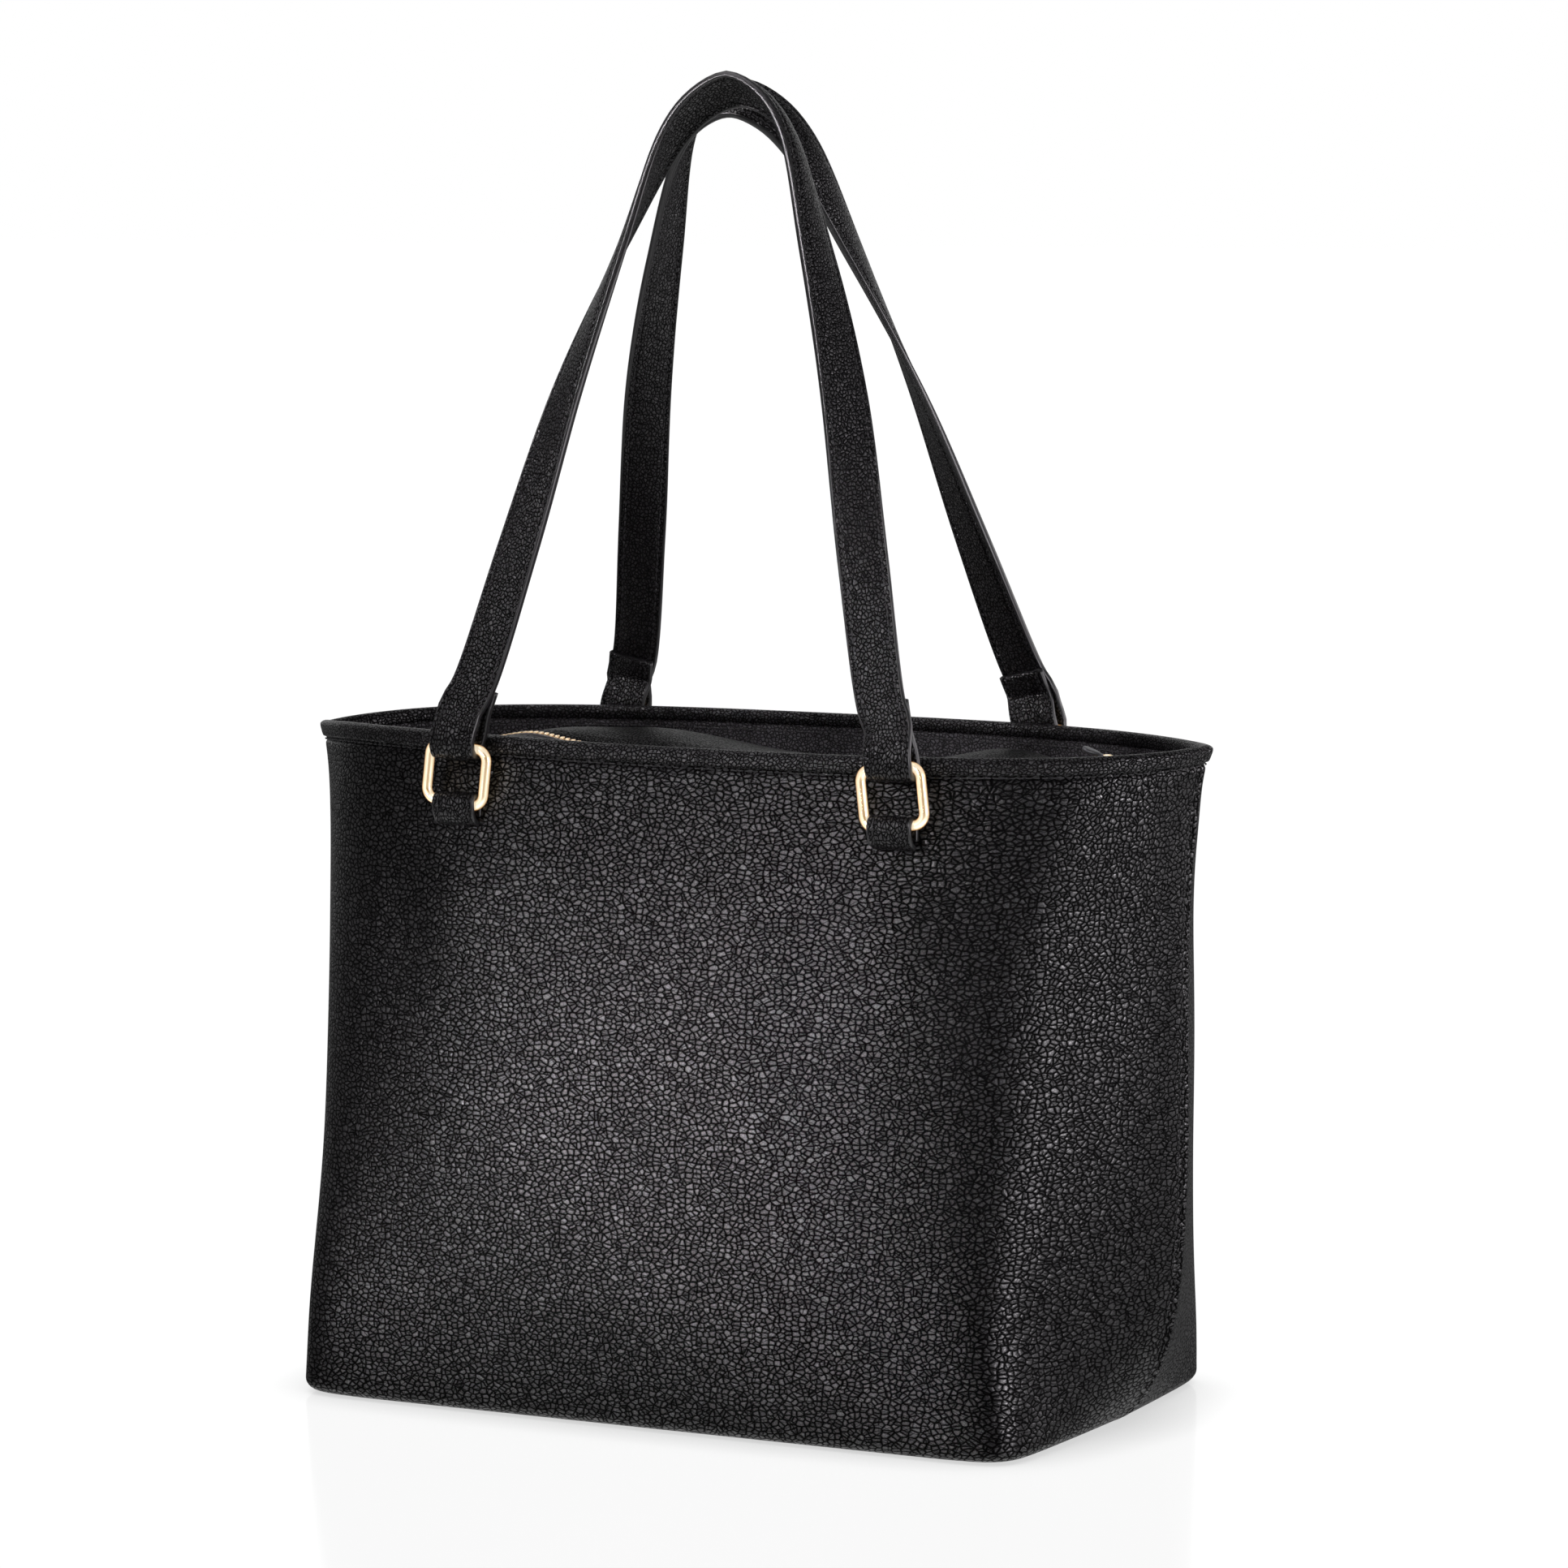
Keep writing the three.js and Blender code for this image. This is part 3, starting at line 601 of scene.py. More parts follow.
def stitches(name, path, normals, body="bag"):
    """A row of stitches along a path: short rounded threads, each dipping into the leather at its ends."""
    run = path_run(path)
    shape = Shape()
    turns = circle(6)

    def at(distance, values):
        return np.array([np.interp(distance, run, values[:, k]) for k in range(3)])

    for centre in np.arange(STITCH_PITCH / 2, run[-1], STITCH_PITCH):
        here = at(centre, path)
        ahead = unit(at(min(centre + 0.5, run[-1]), path) - at(max(centre - 0.5, 0), path))
        up = unit(at(centre, normals))
        aside = np.cross(ahead, up)
        sections = []
        for along, swell, rise in STITCH_PROFILE:
            middle = here + ahead * along * STITCH_LENGTH + up * (rise * STITCH_W - STITCH_SUNK)
            radius = swell * STITCH_W / 2
            sections.append([middle + radius * (np.cos(a) * aside + 0.8 * np.sin(a) * up) for a in turns])
        shape.run(sections)
    shape.object(name, thread, body)


# ---- panels

def wall_stations(count):
    """Outline parameters from seam to seam, closer together beside the seams."""
    beside = 1 - np.array([0, 0.0015, 0.004, 0.0065, 0.009, 0.012, 0.0155, 0.0185, 0.0215, 0.026])
    middle = np.linspace(-0.968, 0.968, count)
    return np.concatenate([-beside, middle, beside[::-1]])


WALL_U = wall_stations(251)
COARSE_U = wall_stations(101)


def seam_relief(u):
    """Depth of the leather beside a side seam: turned in, then raised, then drawn in by the stitches."""
    away = (1 - np.abs(u)) * SIDE_RUN
    turned_in = 1.7 * np.exp(-away / 1.1)
    raised = -0.5 * bell(away, 2.3, 1.2)
    drawn = 0.35 * bell(away, SEAM_STITCH_AWAY, 0.7)
    return turned_in + raised + drawn


def panel(name, side):
    """One face of the bag, from under the base edge to the rim, its edges rolled into the side seams."""
    turn = np.radians(np.linspace(0, 90, 9))
    lift = 0.3
    top = RIM_Z - 1.5
    under = [(16, 0.9), (11, 0.5)]
    bottom = [(PANEL_ROLL * (1 - math.sin(a)), lift + PANEL_ROLL * (1 - math.cos(a))) for a in turn]
    groove = RIM_STITCH_Z + np.array([-1.6, -0.8, 0, 0.8, 1.6])
    heights = np.concatenate([np.linspace(lift + PANEL_ROLL, RIM_STITCH_Z - 3, 128)[1:], groove, [top]])
    inner = [(PANEL_T, z) for z in np.linspace(top, 8, 26)] + [(9, 2.6), (16, 2.4)]
    outer = under + bottom + [(0, z) for z in heights]
    u, inset, z = spread(WALL_U, outer + inner)
    is_outer = np.arange(u.shape[1]) < len(outer)
    drawn = 1.1 * bell(z, RIM_STITCH_Z, 1.1)
    inset = inset + np.where(is_outer, seam_relief(u) + drawn, 0)
    Shape().run(wall(u, z, inset, side)).object(name, body_leather, slot="leather")


def seam_stitches():
    """A stitched line each side of both side seams."""
    heights = np.linspace(16, RIM_Z - 12, 90)
    for hand, sign in HANDS.items():
        for face, side in FACES.items():
            u = sign * (1 - SEAM_STITCH_AWAY / SIDE_RUN)
            path = wall(u, heights, 0.2, side)
            normals = wall(u, heights, -6, side) - path
            stitches(f"{face}_{hand}_seam_stitches", path, normals)


def base_panel():
    """The underside: a leather plate with softened edges and a shallow stiffened field."""
    around = np.concatenate([wall(WALL_U, 0, 0, FRONT), wall(WALL_U[::-1], 0, 0, BACK)])
    upper = [(0.002, 2.6), (0.9, 2.6), (0.955, 2.4), (0.962, 1.2)]
    lower = [(0.952, 0.2), (0.93, 0), (0.5, 0), (0.002, 0)]
    rings = [around * np.array([scale, scale, 0]) + np.array([0, 0, z]) for scale, z in upper + lower]
    Shape().run(rings).object("base_panel", body_leather, slot="leather")


# ---- rim

def rim_binding(name, side):
    """The turned and rolled strip over the top edge, sewn down inside and out."""
    outer = [(-0.4, 274.4), (-1.0, 277), (-0.7, 279.9), (1.7, 281.2)]
    inner = [(4.3, 280.5), (5.2, 277.6), (4.6, 275.2), (1.7, 274.6)]
    u, inset, z = spread(WALL_U, rounded(outer + inner, per_corner=4))
    middle = 1.7
    puff = 0.012 * np.sin(u * 170 + 3 * np.sin(u * 23))
    inset = middle + (inset - middle) * (1 + puff)
    Shape().run(wall(u, z, inset, side)).object(name, lit_trim_leather, slot="leather_trim")
    us = np.linspace(-0.985, 0.985, 500)
    for place, inset_at, z_at, out in (("outer", 0.25, RIM_STITCH_Z, -1), ("inner", 4.6, 272.4, 1)):
        path = wall(us, z_at, inset_at, side)
        normals = wall(us, z_at, inset_at + 4 * out, side) - path
        stitches(f"{name}_{place}_stitches", path, normals)


def facing(name, side):
    """The leather strip inside the rim."""
    top = RIM_Z - 2
    bottom = RIM_Z - FACING_DEPTH
    profile = [(3.2, z) for z in np.linspace(bottom, top, 16)]
    profile += [(4.4, z) for z in np.linspace(top, bottom, 16)]
    u, inset, z = spread(COARSE_U, profile)
    wave = 0.5 * np.sin(u * 9 + side) * np.sin((z - bottom) / FACING_DEPTH * math.pi)
    points = wall(u, z, inset + wave, side)
    Shape().run(points).object(name, lit_facing_leather, slot="leather_trim")


# ---- lining and pockets

def lining():
    """A thin fabric bag inside the panels, up to the facing, with slight upright ripples."""
    around_u = np.concatenate([COARSE_U, COARSE_U[::-1]])
    sides = np.repeat([FRONT, BACK], len(COARSE_U))
    levels = np.concatenate([[6], np.linspace(9, RIM_Z - FACING_DEPTH - 0.8, 24)])
    ripple = 0.15 * np.sin(np.arange(len(around_u)) * 0.7)
    outer = [wall(around_u, z, 3.4 + ripple, sides) for z in levels]
    inner = [wall(around_u, max(z, 6.9), 4.2 + ripple, sides) for z in levels[::-1]]
    shape = Shape().run(np.array(outer + inner))
    shape.object("lining", lining_weave, slot="lining_fabric")


def slip_pocket(name, side):
    """A fabric pocket that stands a little off the lining, with a hemmed mouth."""
    us = np.linspace(-0.5, 0.5, 60)
    low, high = box_mm(name)[0][2], box_mm(name)[1][2]
    outer = [(5.0, z) for z in np.linspace(low, high, 24)]
    hem = [(4.9, high + 0.7), (6.6, high + 0.9), (7.1, high), (7.1, high - 8), (6.3, high - 8.6)]
    inner = [(6.2, z) for z in np.linspace(high - 10, low, 20)]
    u, inset, z = spread(us, outer + hem + inner)
    share = (z - low) / (high - low)
    sag = 1.6 * share**2 * np.cos(u * math.pi) ** 2 * (inset > 5.5)
    points = wall(u, z, inset + sag, side)
    Shape().run(points).object(name, lining_weave, slot="lining_fabric")


# ---- zip closure

def zip_rise(x):
    """How far the chain is pushed up, near the open end of the zip."""
    return ZIP_RISE * bell(x, ZIP_RISE_X, 18)


def closure_height(x, v, side):
    """Height of a flap, v from the wall (0) to the zip (1): slack leather that puffs up in places."""
    edge = CLOSURE_WALL_Z + (ZIP_Z + zip_rise(x) - CLOSURE_WALL_Z) * v
    puff = 0.8
    for centre, height, width in HUMPS[side]:
        puff = puff + height * bell(x, centre, width)
    return edge + puff * np.sin(math.pi * v) ** 0.8


def thickened(top):
    """Sections of a flap, from its upper side."""
    return np.concatenate([top, (top - [0, 0, FLAP_T])[:, ::-1]], axis=1)


def zip_flap(name, side):
    """One half of the closure: slack leather from the wall to the zip, stitched along the tape."""
    limit = u_at_x(CLOSURE_END, CLOSURE_WALL_Z, CLOSURE_INSET)
    start = wall(np.linspace(-limit, limit, 150), CLOSURE_WALL_Z, CLOSURE_INSET, side)
    x, v = np.meshgrid(start[:, 0], np.linspace(0, 1, 22), indexing="ij")
    y = start[:, 1:2] * (1 - v) + side * CLOSURE_EDGE_Y * v
    top = np.stack([x, y, closure_height(x, v, side)], axis=-1)
    Shape().run(thickened(top)).object(name, shaded_closure_leather, slot="leather_trim")
    edge = top[:, -3]
    stitches(f"{name}_stitches", edge, np.tile([0, 0, 1.0], (len(edge), 1)))


def end_gusset(name, sign):
    """The leather that fills the pointed end between the zip and the side seam."""
    start_u = u_at_x(CLOSURE_END + 0.4, CLOSURE_WALL_Z, CLOSURE_INSET)
    edge = wall(np.linspace(start_u, 0.985, 16), CLOSURE_WALL_Z, CLOSURE_INSET, FRONT)
    x, v = np.meshgrid(sign * edge[:, 0], np.linspace(-1, 1, 25), indexing="ij")
    share = np.linspace(0, 1, 16)[:, None]
    height = closure_height(x, 1 - np.abs(v), BACK)
    z = height * (1 - share) + CLOSURE_WALL_Z * share + 7 * share**2
    top = np.stack([x, -edge[:, 1:2] * v, z], axis=-1)
    Shape().run(thickened(top)).object(name, shaded_closure_leather, slot="leather_trim")


def zip_tape(name, side):
    """A woven tape with a corded edge that the teeth clamp. It dips under the flap."""
    low, high = box_mm(name)
    us = np.linspace(-1, 1, 400)
    edge = wall(us, CLOSURE_WALL_Z, CLOSURE_INSET)
    cord = [(2.4, 0.9), (3.2, 0.5), (4.4, 0.35)]
    under = [(y, 0.3) for y in (5.8, 7.5, 10, 12.5, 14)]
    sections = []
    for x in np.linspace(low[0], high[0], 120):
        wall_y = -np.interp(x, edge[:, 0], edge[:, 1])
        top, bottom = [], []
        for y, half in cord + under:
            v = min(1, (wall_y - y) / (wall_y - CLOSURE_EDGE_Y))
            sunk = 1.9 * smoothstep(2.4, 5.8, y)
            middle = closure_height(x, v, side) - sunk
            top.append((x, side * y, middle + half))
            bottom.append((x, side * y, middle - half))
        sections.append(top + bottom[::-1])
    Shape().run(sections).object(name, tape_weave, slot="zip_tape")


def zip_teeth(name, side):
    """Metal elements clamped on the tape edge, each with a head that locks over the other row's."""
    half = [(-0.62, 2.6), (-0.62, 0.9), (-0.42, 0.2), (-0.3, -0.5)]
    outline = half + [(-along, out) for along, out in half[::-1]]
    layers = ((0.86, -1.25), (1, -0.9), (1, 0.9), (0.86, 1.25))
    shift = 0 if side < 0 else TEETH_PITCH / 2
    shape = Shape()
    for x in np.arange(-ZIP_END + 1.5, ZIP_END - 2, TEETH_PITCH) + shift:
        middle = ZIP_Z + zip_rise(x)
        sections = []
        for grow, z in layers:
            sections.append([(x + a * grow, side * (1 + (b - 1) * grow), middle + z) for a, b in outline])
        shape.run(sections)
    shape.object(name, zip_gold, slot="gold_metal", smooth=False)


def zip_stop(name):
    """A small crimped block at an end of the chain."""
    low, high = box_mm(name)
    half = (high - low) / 2
    turns = circle(16)
    y, z = squared_off(np.sin(turns), 0.5), squared_off(np.cos(turns), 0.5)
    sections = []
    for grow, x in ((0.7, -1), (1, -0.75), (0.93, 0), (1, 0.75), (0.7, 1)):
        block = np.column_stack([np.full(16, x), y * grow, z * grow])
        sections.append((low + high) / 2 + block * half)
    Shape().run(sections).object(name, zip_gold, slot="gold_metal")


def zip_slider():
    """Top plate with turned-down flanges, and the arched bridge that carries the pull."""
    low, high = box_mm("zip_slider")
    middle_x = (low[0] + high[0]) / 2
    floor = low[2] + 2.2
    edge = high[1]
    top_half = [(-edge, -2.1), (-edge, -0.4), (-edge + 0.7, 0.1), (0, 0.35)]
    under_half = [(edge - 0.9, -2.1), (edge - 1.1, -0.9), (0, -0.8)]
    profile = top_half + [(-y, z) for y, z in top_half[-2::-1]] + under_half
    profile = np.array(profile + [(-y, z) for y, z in under_half[-2::-1]])
    sections = []
    for share in np.linspace(-1, 1, 15):
        waist = 1 - 0.28 * smoothstep(0.2, 1, share) - 0.1 * smoothstep(0.6, 1, -share)
        ring = profile * np.array([waist, 1]) + np.array([0, floor])
        sections.append(np.column_stack([np.full(len(ring), middle_x + 5 * share), ring]))
    shape = Shape().run(sections)
    top = high[2] - floor
    rising = [(-3.6, 0.1), (-3.1, top - 1.2), (-0.6, top - 0.3)]
    falling = [(2.6, top - 0.3), (4.1, top - 1.6), (4.5, 0.1)]
    bridge = rounded(rising + falling, closed=False, per_corner=5)
    path = np.column_stack([middle_x + bridge[:, 0], np.zeros(len(bridge)), floor + bridge[:, 1]])
    across, out = strip_frames(path, np.array([0, 1.0, 0]))
    shape.run(strip_sections(path, across, out, oval(1.9, 0.9)))
    shape.object("zip_slider", zip_gold, "slider", "gold_metal")


def zip_pull():
    """A short leather-covered pull with a narrow neck that loops over the slider's bridge."""
    hinge = next(j for j in frame["joints"] if j["name"] == "zip_pull_lift")["pos_m"]
    hinge = np.array(hinge) / MM
    tilt = math.radians(20)
    ahead = np.array([-math.cos(tilt), 0, math.sin(tilt)])
    up = np.array([math.sin(tilt), 0, math.cos(tilt)])
    across = np.array([0, 1.0, 0])
    shape = Shape()
    neck = [(0.4, 1.5), (2.6, 1.5), (4.2, 1.3), (5.6, 1.5)]
    grip = [(7, 2.5), (9, 2.9), (11.2, 2.9), (12.7, 2.3), (13.3, 1)]
    turns = circle(20)
    sections = []
    for distance, half in rounded(neck + grip, closed=False, per_corner=3):
        y = half * squared_off(np.cos(turns), 0.6)
        z = 0.95 * squared_off(np.sin(turns), 0.6) * min(1, half / 1.6)
        sections.append([hinge + ahead * distance + across * a + up * b for a, b in zip(y, z)])
    shape.run(sections)
    wire = [hinge + ahead * (0.2 + 1.5 * math.cos(a)) + up * (1.3 * math.sin(a)) for a in circle(24)]
    shape.run(tube(np.array(wire), 0.55), closed=True)
    shape.object("zip_pull", pull_finish, "pull", "pull_leather")


# ---- strips, wires and loops

def oval(width, thickness, count=14):
    turns = circle(count)
    return np.stack([width / 2 * np.cos(turns), thickness / 2 * np.sin(turns)], axis=1)


def strap_profile(width, thickness, margin, pad=0.35, groove=STRAP_GROOVE):
    """Section of a stitched strap: padded between two sewn lines, with edges that show two layers."""
    w, t = width / 2, thickness / 2
    inner = w - margin
    face = [(w - 0.35, 0.0), (w, t * 0.5), (w - 0.3, t * 0.85), (w - 0.9, t), (inner + 0.7, t)]
    face += [(inner + 0.15, t - groove), (inner - 0.15, t - groove), (inner - 0.8, t + pad * 0.3)]
    face += [(inner * k, t + pad * (1 - k**4)) for k in (0.75, 0.45, 0.15)]
    half = face + [(-a, b) for a, b in face[::-1]]
    other = [(a, -b) for a, b in half[::-1]][1:-1]
    return np.array(half + other)


def strip_frames(path, across):
    """For each point of a path: the width direction, squared up to the path, and where the face looks."""
    tangent = unit(np.gradient(path, axis=0))
    across = unit(across - tangent * np.sum(across * tangent, axis=1, keepdims=True))
    return across, np.cross(tangent, across)


def strip_sections(path, across, out, profile):
    """Sections of a strip. profile is one section, or one for each point of the path."""
    profiles = np.broadcast_to(profile, (len(path),) + profile.shape[-2:])
    return path[:, None] + profiles[..., :1] * across[:, None] + profiles[..., 1:] * out[:, None]


def tube(path, radius, sides=14):
    """Sections of a round wire along a flat closed path."""
    tangent = unit(np.roll(path, -1, axis=0) - np.roll(path, 1, axis=0))
    flat = unit(np.cross(tangent[0], tangent[len(tangent) // 3]))
    aside = unit(np.cross(tangent, flat))
    turns = circle(sides)[None, :, None]
    return path[:, None] + radius * (np.cos(turns) * aside[:, None] + np.sin(turns) * flat)


def painted_edges(name, path, across, out, width, thickness, side, body="bag"):
    """The rounded, painted edges of a strip."""
    edges = Shape()
    for edge in (-1, 1):
        at_edge = path + across * edge * (width / 2 - 0.5)
        edges.run(hang(strip_sections(at_edge, across, out, oval(1.5, thickness + 0.2, 10)), side))
    edges.object(f"{name}_edges", edge_paint, body, slot="leather_trim")


def hang(points, side):
    """Turns what is drawn for the front half round the bag when it hangs on the back."""
    return points * np.array([-side, -side, 1])


def ring(name, body, x, side):
    """A rounded rectangle of round wire. Its top leans in, the way the strap pulls."""
    middle_z = (RING_FOOT_Z + RING_TOP_Z) / 2
    corner_x = RING_W / 2 - RING_CORNER
    corner_z = (RING_TOP_Z - RING_FOOT_Z) / 2 - RING_CORNER
    lean = RING_LEAN * np.sign(x)
    path = []
    for sign_x, sign_z, start in ((1, -1, -90), (1, 1, 0), (-1, 1, 90), (-1, -1, 180)):
        for turn in np.radians(np.linspace(start, start + 90, 10)):
            across = sign_x * corner_x + RING_CORNER * math.cos(turn)
            up = sign_z * corner_z + RING_CORNER * math.sin(turn)
            leaning_x = x + across * math.cos(lean) - up * math.sin(lean)
            path.append((leaning_x, RING_Y, middle_z + up * math.cos(lean) + across * math.sin(lean)))
    sections = hang(tube(np.array(path), RING_WIRE, sides=20), side)
    Shape().run(sections, closed=True).object(name, gold_metal, body, "gold_metal")


def bar_turn(z, radius, start, end, steps=12):
    """Points turning round a ring's bar: 0 is the bag's side of it, 90 below it and 180 in front."""
    turns = np.radians(np.linspace(start, end, steps))
    return [(RING_Y + radius * math.cos(a), z - radius * math.sin(a)) for a in turns]


def ring_tab(name, x, side):
    """The short leather loop that holds a ring to the panel."""
    radius = RING_WIRE + 0.25 + TAB_T / 2
    front = RING_Y - radius
    path = [(RING_Y + radius, TAB_FOOT_Z + 2), (RING_Y + radius, TAB_FOOT_Z + 6)]
    path += bar_turn(RING_FOOT_Z, radius, 0, -180)
    path += [(front + 0.5, TAB_FOOT_Z + 4), (front + 2.2, TAB_FOOT_Z + 1), (front + 5, TAB_FOOT_Z - 0.8)]
    path = even(path, 0.8)
    points = np.column_stack([np.full(len(path), x), path])
    across, out = strip_frames(points, np.array([1.0, 0, 0]))
    profile = strap_profile(TAB_W, TAB_T, TAB_MARGIN, pad=0.15, groove=0.3)
    sections = hang(strip_sections(points, across, out, profile), side)
    Shape().run(sections).object(name, lit_trim_leather, slot="leather_trim")
    for place, edge in HANDS.items():
        line = points + across * edge * (TAB_W / 2 - TAB_MARGIN) + out * (TAB_T / 2 - 0.2)
        stitches(f"{name}_{place}_stitches", hang(line, side), hang(out, side))
    painted_edges(name, points, across, out, TAB_W, TAB_T, side)
    lip(name, -side * x, side)


def lip(name, x, side):
    """The turned slit in the panel that the tab comes out of."""
    z = TAB_FOOT_Z - 0.6
    xs = np.linspace(x - 12.5, x + 12.5, 24)
    us = np.linspace(0, 1, 800)
    u = np.interp(np.abs(xs), wall(us, z, 0, side)[:, 0], us) * np.sign(xs)
    middle = wall(u, z, 0.1, side)
    swell = np.clip(1 - np.abs((xs - x) / 12.6) ** 6, 0.05, 1)
    profile = oval(3.4, 3.0)
    sections = []
    for centre, grow in zip(middle, swell):
        sections.append([centre + np.array([0, side * b * grow, a * grow]) for a, b in profile])
    Shape().run(sections).object(f"{name}_lip", body_leather, slot="leather")


def strap_path(top_y, top_z):
    """A strap's centre line from tail to tail, where it faces, and each point's share of the arch."""
    radius = RING_WIRE + 0.3 + STRAP_T / 2
    foot_y = RING_Y - radius
    leg_y = foot_y + 6.8
    lean = (top_y - leg_y) / (top_z - HANDLE_FOOT_Z)

    def lean_y(z):
        return leg_y + lean * (z - HANDLE_FOOT_Z)

    leg = [(RING_X, foot_y, RING_TOP_Z), (RING_X - 0.4, foot_y - 0.5, RING_TOP_Z + 4.5)]
    leg += [(RING_X - 1.3, foot_y + 2.2, RING_TOP_Z + 11), (RING_X - 2.0, foot_y + 4.1, RING_TOP_Z + 16)]
    for half, rise in HANDLE_LEG:
        z = HANDLE_FOOT_Z + rise * (top_z - HANDLE_FOOT_Z)
        leg.append((half, lean_y(z), z))
    right = np.array(leg[::-1])
    left = np.array(leg) * np.array([-1, 1, 1])
    arch = np.concatenate([left, [[0, top_y, top_z]], right])
    arch = even(rounded(arch, closed=False, per_corner=16), 4.0)[1:-1]

    gap = STRAP_T + 0.3
    tail = [(lean_y(z) + gap, z) for z in (HANDLE_FOOT_Z, HANDLE_FOOT_Z - 6, RING_TOP_Z + 15)]
    tail += [(RING_Y + radius + 0.5, RING_TOP_Z + 6)] + bar_turn(RING_TOP_Z, radius, 0, 170)
    tail = even(rounded(tail, closed=False, per_corner=3), 1.6)
    inward = (RING_X - HANDLE_LEG[0][0]) / (HANDLE_FOOT_Z - RING_TOP_Z)
    tail_x = RING_X - inward * np.maximum(0, tail[:, 1] - RING_TOP_Z)

    path = np.concatenate([np.column_stack([-tail_x, tail]), arch, np.column_stack([tail_x, tail])[::-1]])
    along = np.concatenate([np.zeros(len(tail)), np.linspace(0, 1, len(arch)), np.ones(len(tail))])
    return path, unit(np.array([0, -1.0, lean])), along


def handle(face, side):
    """One strap: from a tail, round the left ring's bar, over the arch, round the right one's to a tail."""
    name = f"{face}_handle"
    path, face_out, along = strap_path(*HANDLE_TOP[face])
    path[:, 0] += RING_SHIFT
    rise = 1 - np.abs(2 * along - 1)
    tangent = unit(np.gradient(path, axis=0))
    aside = unit(np.cross(face_out, tangent) + np.array([0, 0, 1e-6]))
    lateness = np.where(along < 0.5, *LATE_TURN[face])
    twist = TOP_TWIST * (np.maximum(rise, 0) ** lateness)[:, None]
    facing_way = face_out * np.cos(twist) + aside * np.sin(twist)
    across = np.cross(facing_way, tangent)
    loops = rise <= 0
    across[loops] = np.where(along < 0.5, -1, 1)[loops, None] * np.array([1.0, 0, 0])
    across, out = strip_frames(path, across)

    profile = np.repeat(strap_profile(STRAP_W, STRAP_T, STRAP_MARGIN)[None], len(path), axis=0)
    sewn_z = RING_TOP_Z + 15.5
    pinch = bell(path[:, 2], sewn_z, 1.1)
    full = bell(path[:, 2], RING_TOP_Z + 5, 7)
    profile[..., 1] *= (1 - 0.4 * pinch + 0.3 * full)[:, None]
    cup = 2.4 * smoothstep(0.45, 1, rise)
    profile[..., 1] -= cup[:, None] * (2 * profile[..., 0] / STRAP_W) ** 2
    sections = hang(strip_sections(path, across, out, profile), side)
    Shape().run(sections).object(name, lit_trim_leather, name, "leather_trim")

    painted_edges(name, path - out * cup[:, None], across, out, STRAP_W, STRAP_T, side, name)

    line = STRAP_W / 2 - STRAP_MARGIN
    sunk = STRAP_T / 2 - STRAP_GROOVE + 0.1
    dip = (cup * (2 * line / STRAP_W) ** 2)[:, None]
    for place, edge in HANDS.items():
        for layer, way in (("top", 1), ("under", -1)):
            sewn = np.ones(len(path), bool) if way > 0 else rise > 0.01
            thread_path = path + across * edge * line + out * (way * sunk - dip)
            thread_path, up = hang(thread_path, side)[sewn], hang(out * way, side)[sewn]
            stitches(f"{name}_{place}_{layer}_stitches", thread_path, up, name)


# ---- the assembly

base_panel()
lining()
for face, side in FACES.items():
    panel(f"{face}_panel", side)
    rim_binding(f"{face}_rim_binding", side)
    facing(f"{face}_facing", side)
    slip_pocket(f"{face}_slip_pocket", side)
    zip_flap(f"{face}_zip_panel", side)
    zip_tape(f"{face}_zip_tape", side)
    zip_teeth(f"{face}_zip_teeth", side)
    zip_stop(f"{face}_zip_top_stop")
    handle(face, side)
    for ring_x in (RING_SHIFT - RING_X, RING_SHIFT + RING_X):
        hand = "left" if -side * ring_x < 0 else "right"
        ring(f"{face}_ring_{hand}", f"{face}_{hand}_ring", ring_x, side)
        ring_tab(f"{face}_tab_{hand}", ring_x, side)
seam_stitches()
for hand, sign in HANDS.items():
    end_gusset(f"{hand}_end_gusset", sign)
zip_stop("zip_bottom_stop")
zip_slider()
zip_pull()
board_node = frame["nodes"]["base_board"]
board_node.data.materials.clear()
board_node.data.materials.append(board)


# ---- studio

# metres from here on
AWAY = (-0.449, 0.893, 0.05)  # from the camera through the bag, to the lit backdrop
FLOOR_HALF = 30.0
FLOOR_Z = -0.0004
CAMERA_PLACE = (1.1536, -2.2628, 0.5224)
CAMERA_DOWN = 5.93  # degrees below level
CAMERA_TURN = 26.71  # degrees to the left of straight at the front face
CAMERA_LENS = 138.4


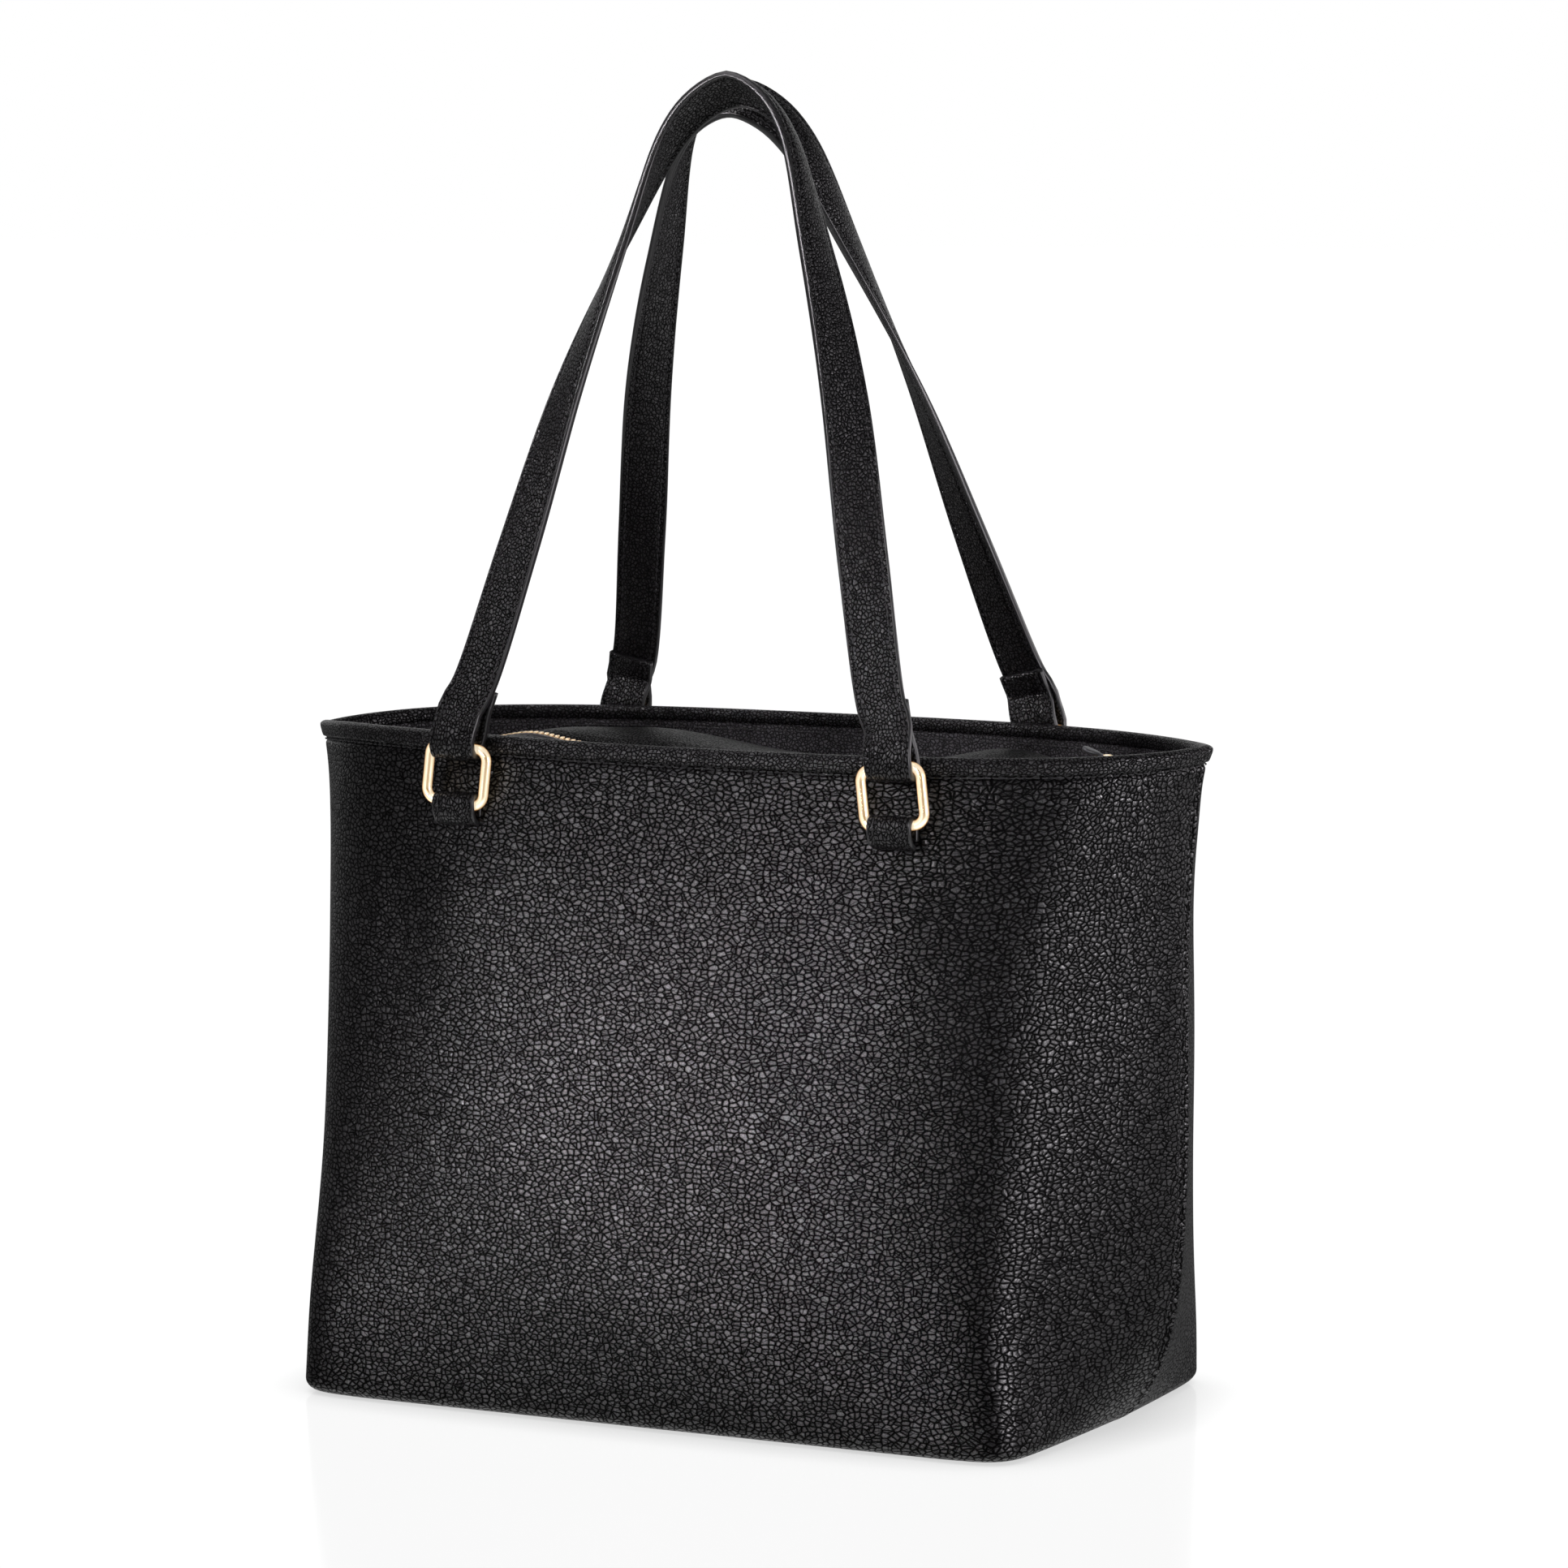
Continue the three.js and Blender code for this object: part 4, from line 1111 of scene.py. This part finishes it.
def studio_floor():
    """A white sweep. The camera sees it glow, with a soft contact shadow and a faint mirror image.

    The leather sees it bright from steeply above and dim at a grazing angle.
    """
    n = Nodes("studio_floor")
    camera_ray = n.add("ShaderNodeLightPath", output="Is Camera Ray")
    contact = n.add("ShaderNodeAmbientOcclusion", {"Distance": 0.035}, "AO", samples=8)
    incoming = n.add("ShaderNodeNewGeometry", output="Incoming")
    unmirrored = n.remap(n.dot(incoming, AWAY), -0.9, -0.6, 0.0, 0.08)
    level = n.plus(n.straight(contact, 0.2, 0.9, 0.7, 1.04), unmirrored)
    white = n.add("ShaderNodeEmission", {"Strength": level})
    mirror = n.add("ShaderNodeBsdfGlossy", {"Color": gray(1.0), "Roughness": 0.13})
    seen = n.add("ShaderNodeMixShader", {0: 0.09, 1: white, 2: mirror})
    steep = n.add("ShaderNodeSeparateXYZ", {"Vector": incoming}, "Z")
    unseen = n.add("ShaderNodeEmission", {"Strength": n.remap(steep, 0.35, 0.65, 0.15, 1.15)})
    both = n.add("ShaderNodeMixShader", {0: camera_ray, 1: unseen, 2: seen})
    mesh = bpy.data.meshes.new("floor")
    corners = [(x * FLOOR_HALF, y * FLOOR_HALF, 0) for x, y in ((-1, -1), (1, -1), (1, 1), (-1, 1))]
    mesh.from_pydata(corners, [], [(0, 1, 2, 3)])
    mesh.materials.append(n.finish(both))
    floor = bpy.data.objects.new("floor", mesh)
    floor.location.z = FLOOR_Z
    bpy.context.scene.collection.objects.link(floor)


def softbox(name, azimuth, elevation, distance, size, radiance, aim=(0, 0, 0.15), beam=180):
    """A rectangular light, aimed at a point. Azimuth 0 is in front of the bag and grows to the right.

    Angles are in degrees.
    """
    light = bpy.data.lights.new(name, "AREA")
    light.shape = "RECTANGLE"
    light.size, light.size_y = size
    light.energy = radiance * math.pi * size[0] * size[1]
    light.color = (1, 0.95, 1)
    light.spread = math.radians(beam)
    lamp = bpy.data.objects.new(name, light)
    lamp.visible_camera = False
    turn, lift = math.radians(azimuth), math.radians(elevation)
    way = Vector((math.sin(turn) * math.cos(lift), -math.cos(turn) * math.cos(lift), math.sin(lift)))
    lamp.location = Vector(aim) + way * distance
    lamp.rotation_mode = "QUATERNION"
    lamp.rotation_quaternion = (-way).to_track_quat("-Z", "Y")
    bpy.context.scene.collection.objects.link(lamp)


def studio():
    """White to the camera and behind the bag, dark in front, so that only softboxes light the leather."""
    n = Nodes("white_studio", "worlds")
    direction = n.add("ShaderNodeTexCoord", output="Generated")
    behind = n.straight(n.dot(direction, AWAY), 0.6, 0.9, 0.085, 0.9)
    strength = n.math("MAXIMUM", behind, n.add("ShaderNodeLightPath", output="Is Camera Ray"))
    background = n.add("ShaderNodeBackground", {0: gray(1.0), 1: strength})
    bpy.context.scene.world = n.finish(background, "ShaderNodeOutputWorld")
    bpy.context.scene.view_settings.view_transform = "Standard"


def lights():
    """Narrow beams on the face, straps and shoulder, and broad softboxes beside, behind and above."""
    softbox("front_softbox", -25, 3.5, 2.2, (0.85, 0.2), 1.05, aim=(0, 0, 0.12), beam=5.2)
    softbox("strap_softbox", -27, 24, 2.2, (0.7, 0.35), 0.9, aim=(0, -0.05, 0.5), beam=12)
    softbox("side_softbox", 78, 8, 2.0, (0.3, 0.9), 32.0)
    softbox("back_softbox", 138, 7, 2.2, (0.9, 0.6), 6.0)
    softbox("shoulder_softbox", -1, 14, 2.2, (0.35, 0.3), 0.35, aim=(0.12, -0.08, 0.26), beam=8)
    softbox("top_softbox", -60, 72, 1.9, (1.4, 1.0), 2.4)


def camera():
    data = bpy.data.cameras.new("camera")
    data.lens = CAMERA_LENS
    data.sensor_width = 36
    data.clip_end = 100
    eye = bpy.data.objects.new("camera", data)
    eye.location = CAMERA_PLACE
    eye.rotation_euler = (math.radians(90 - CAMERA_DOWN), 0, math.radians(CAMERA_TURN))
    bpy.context.scene.collection.objects.link(eye)
    bpy.context.scene.camera = eye


studio_floor()
studio()
lights()
camera()
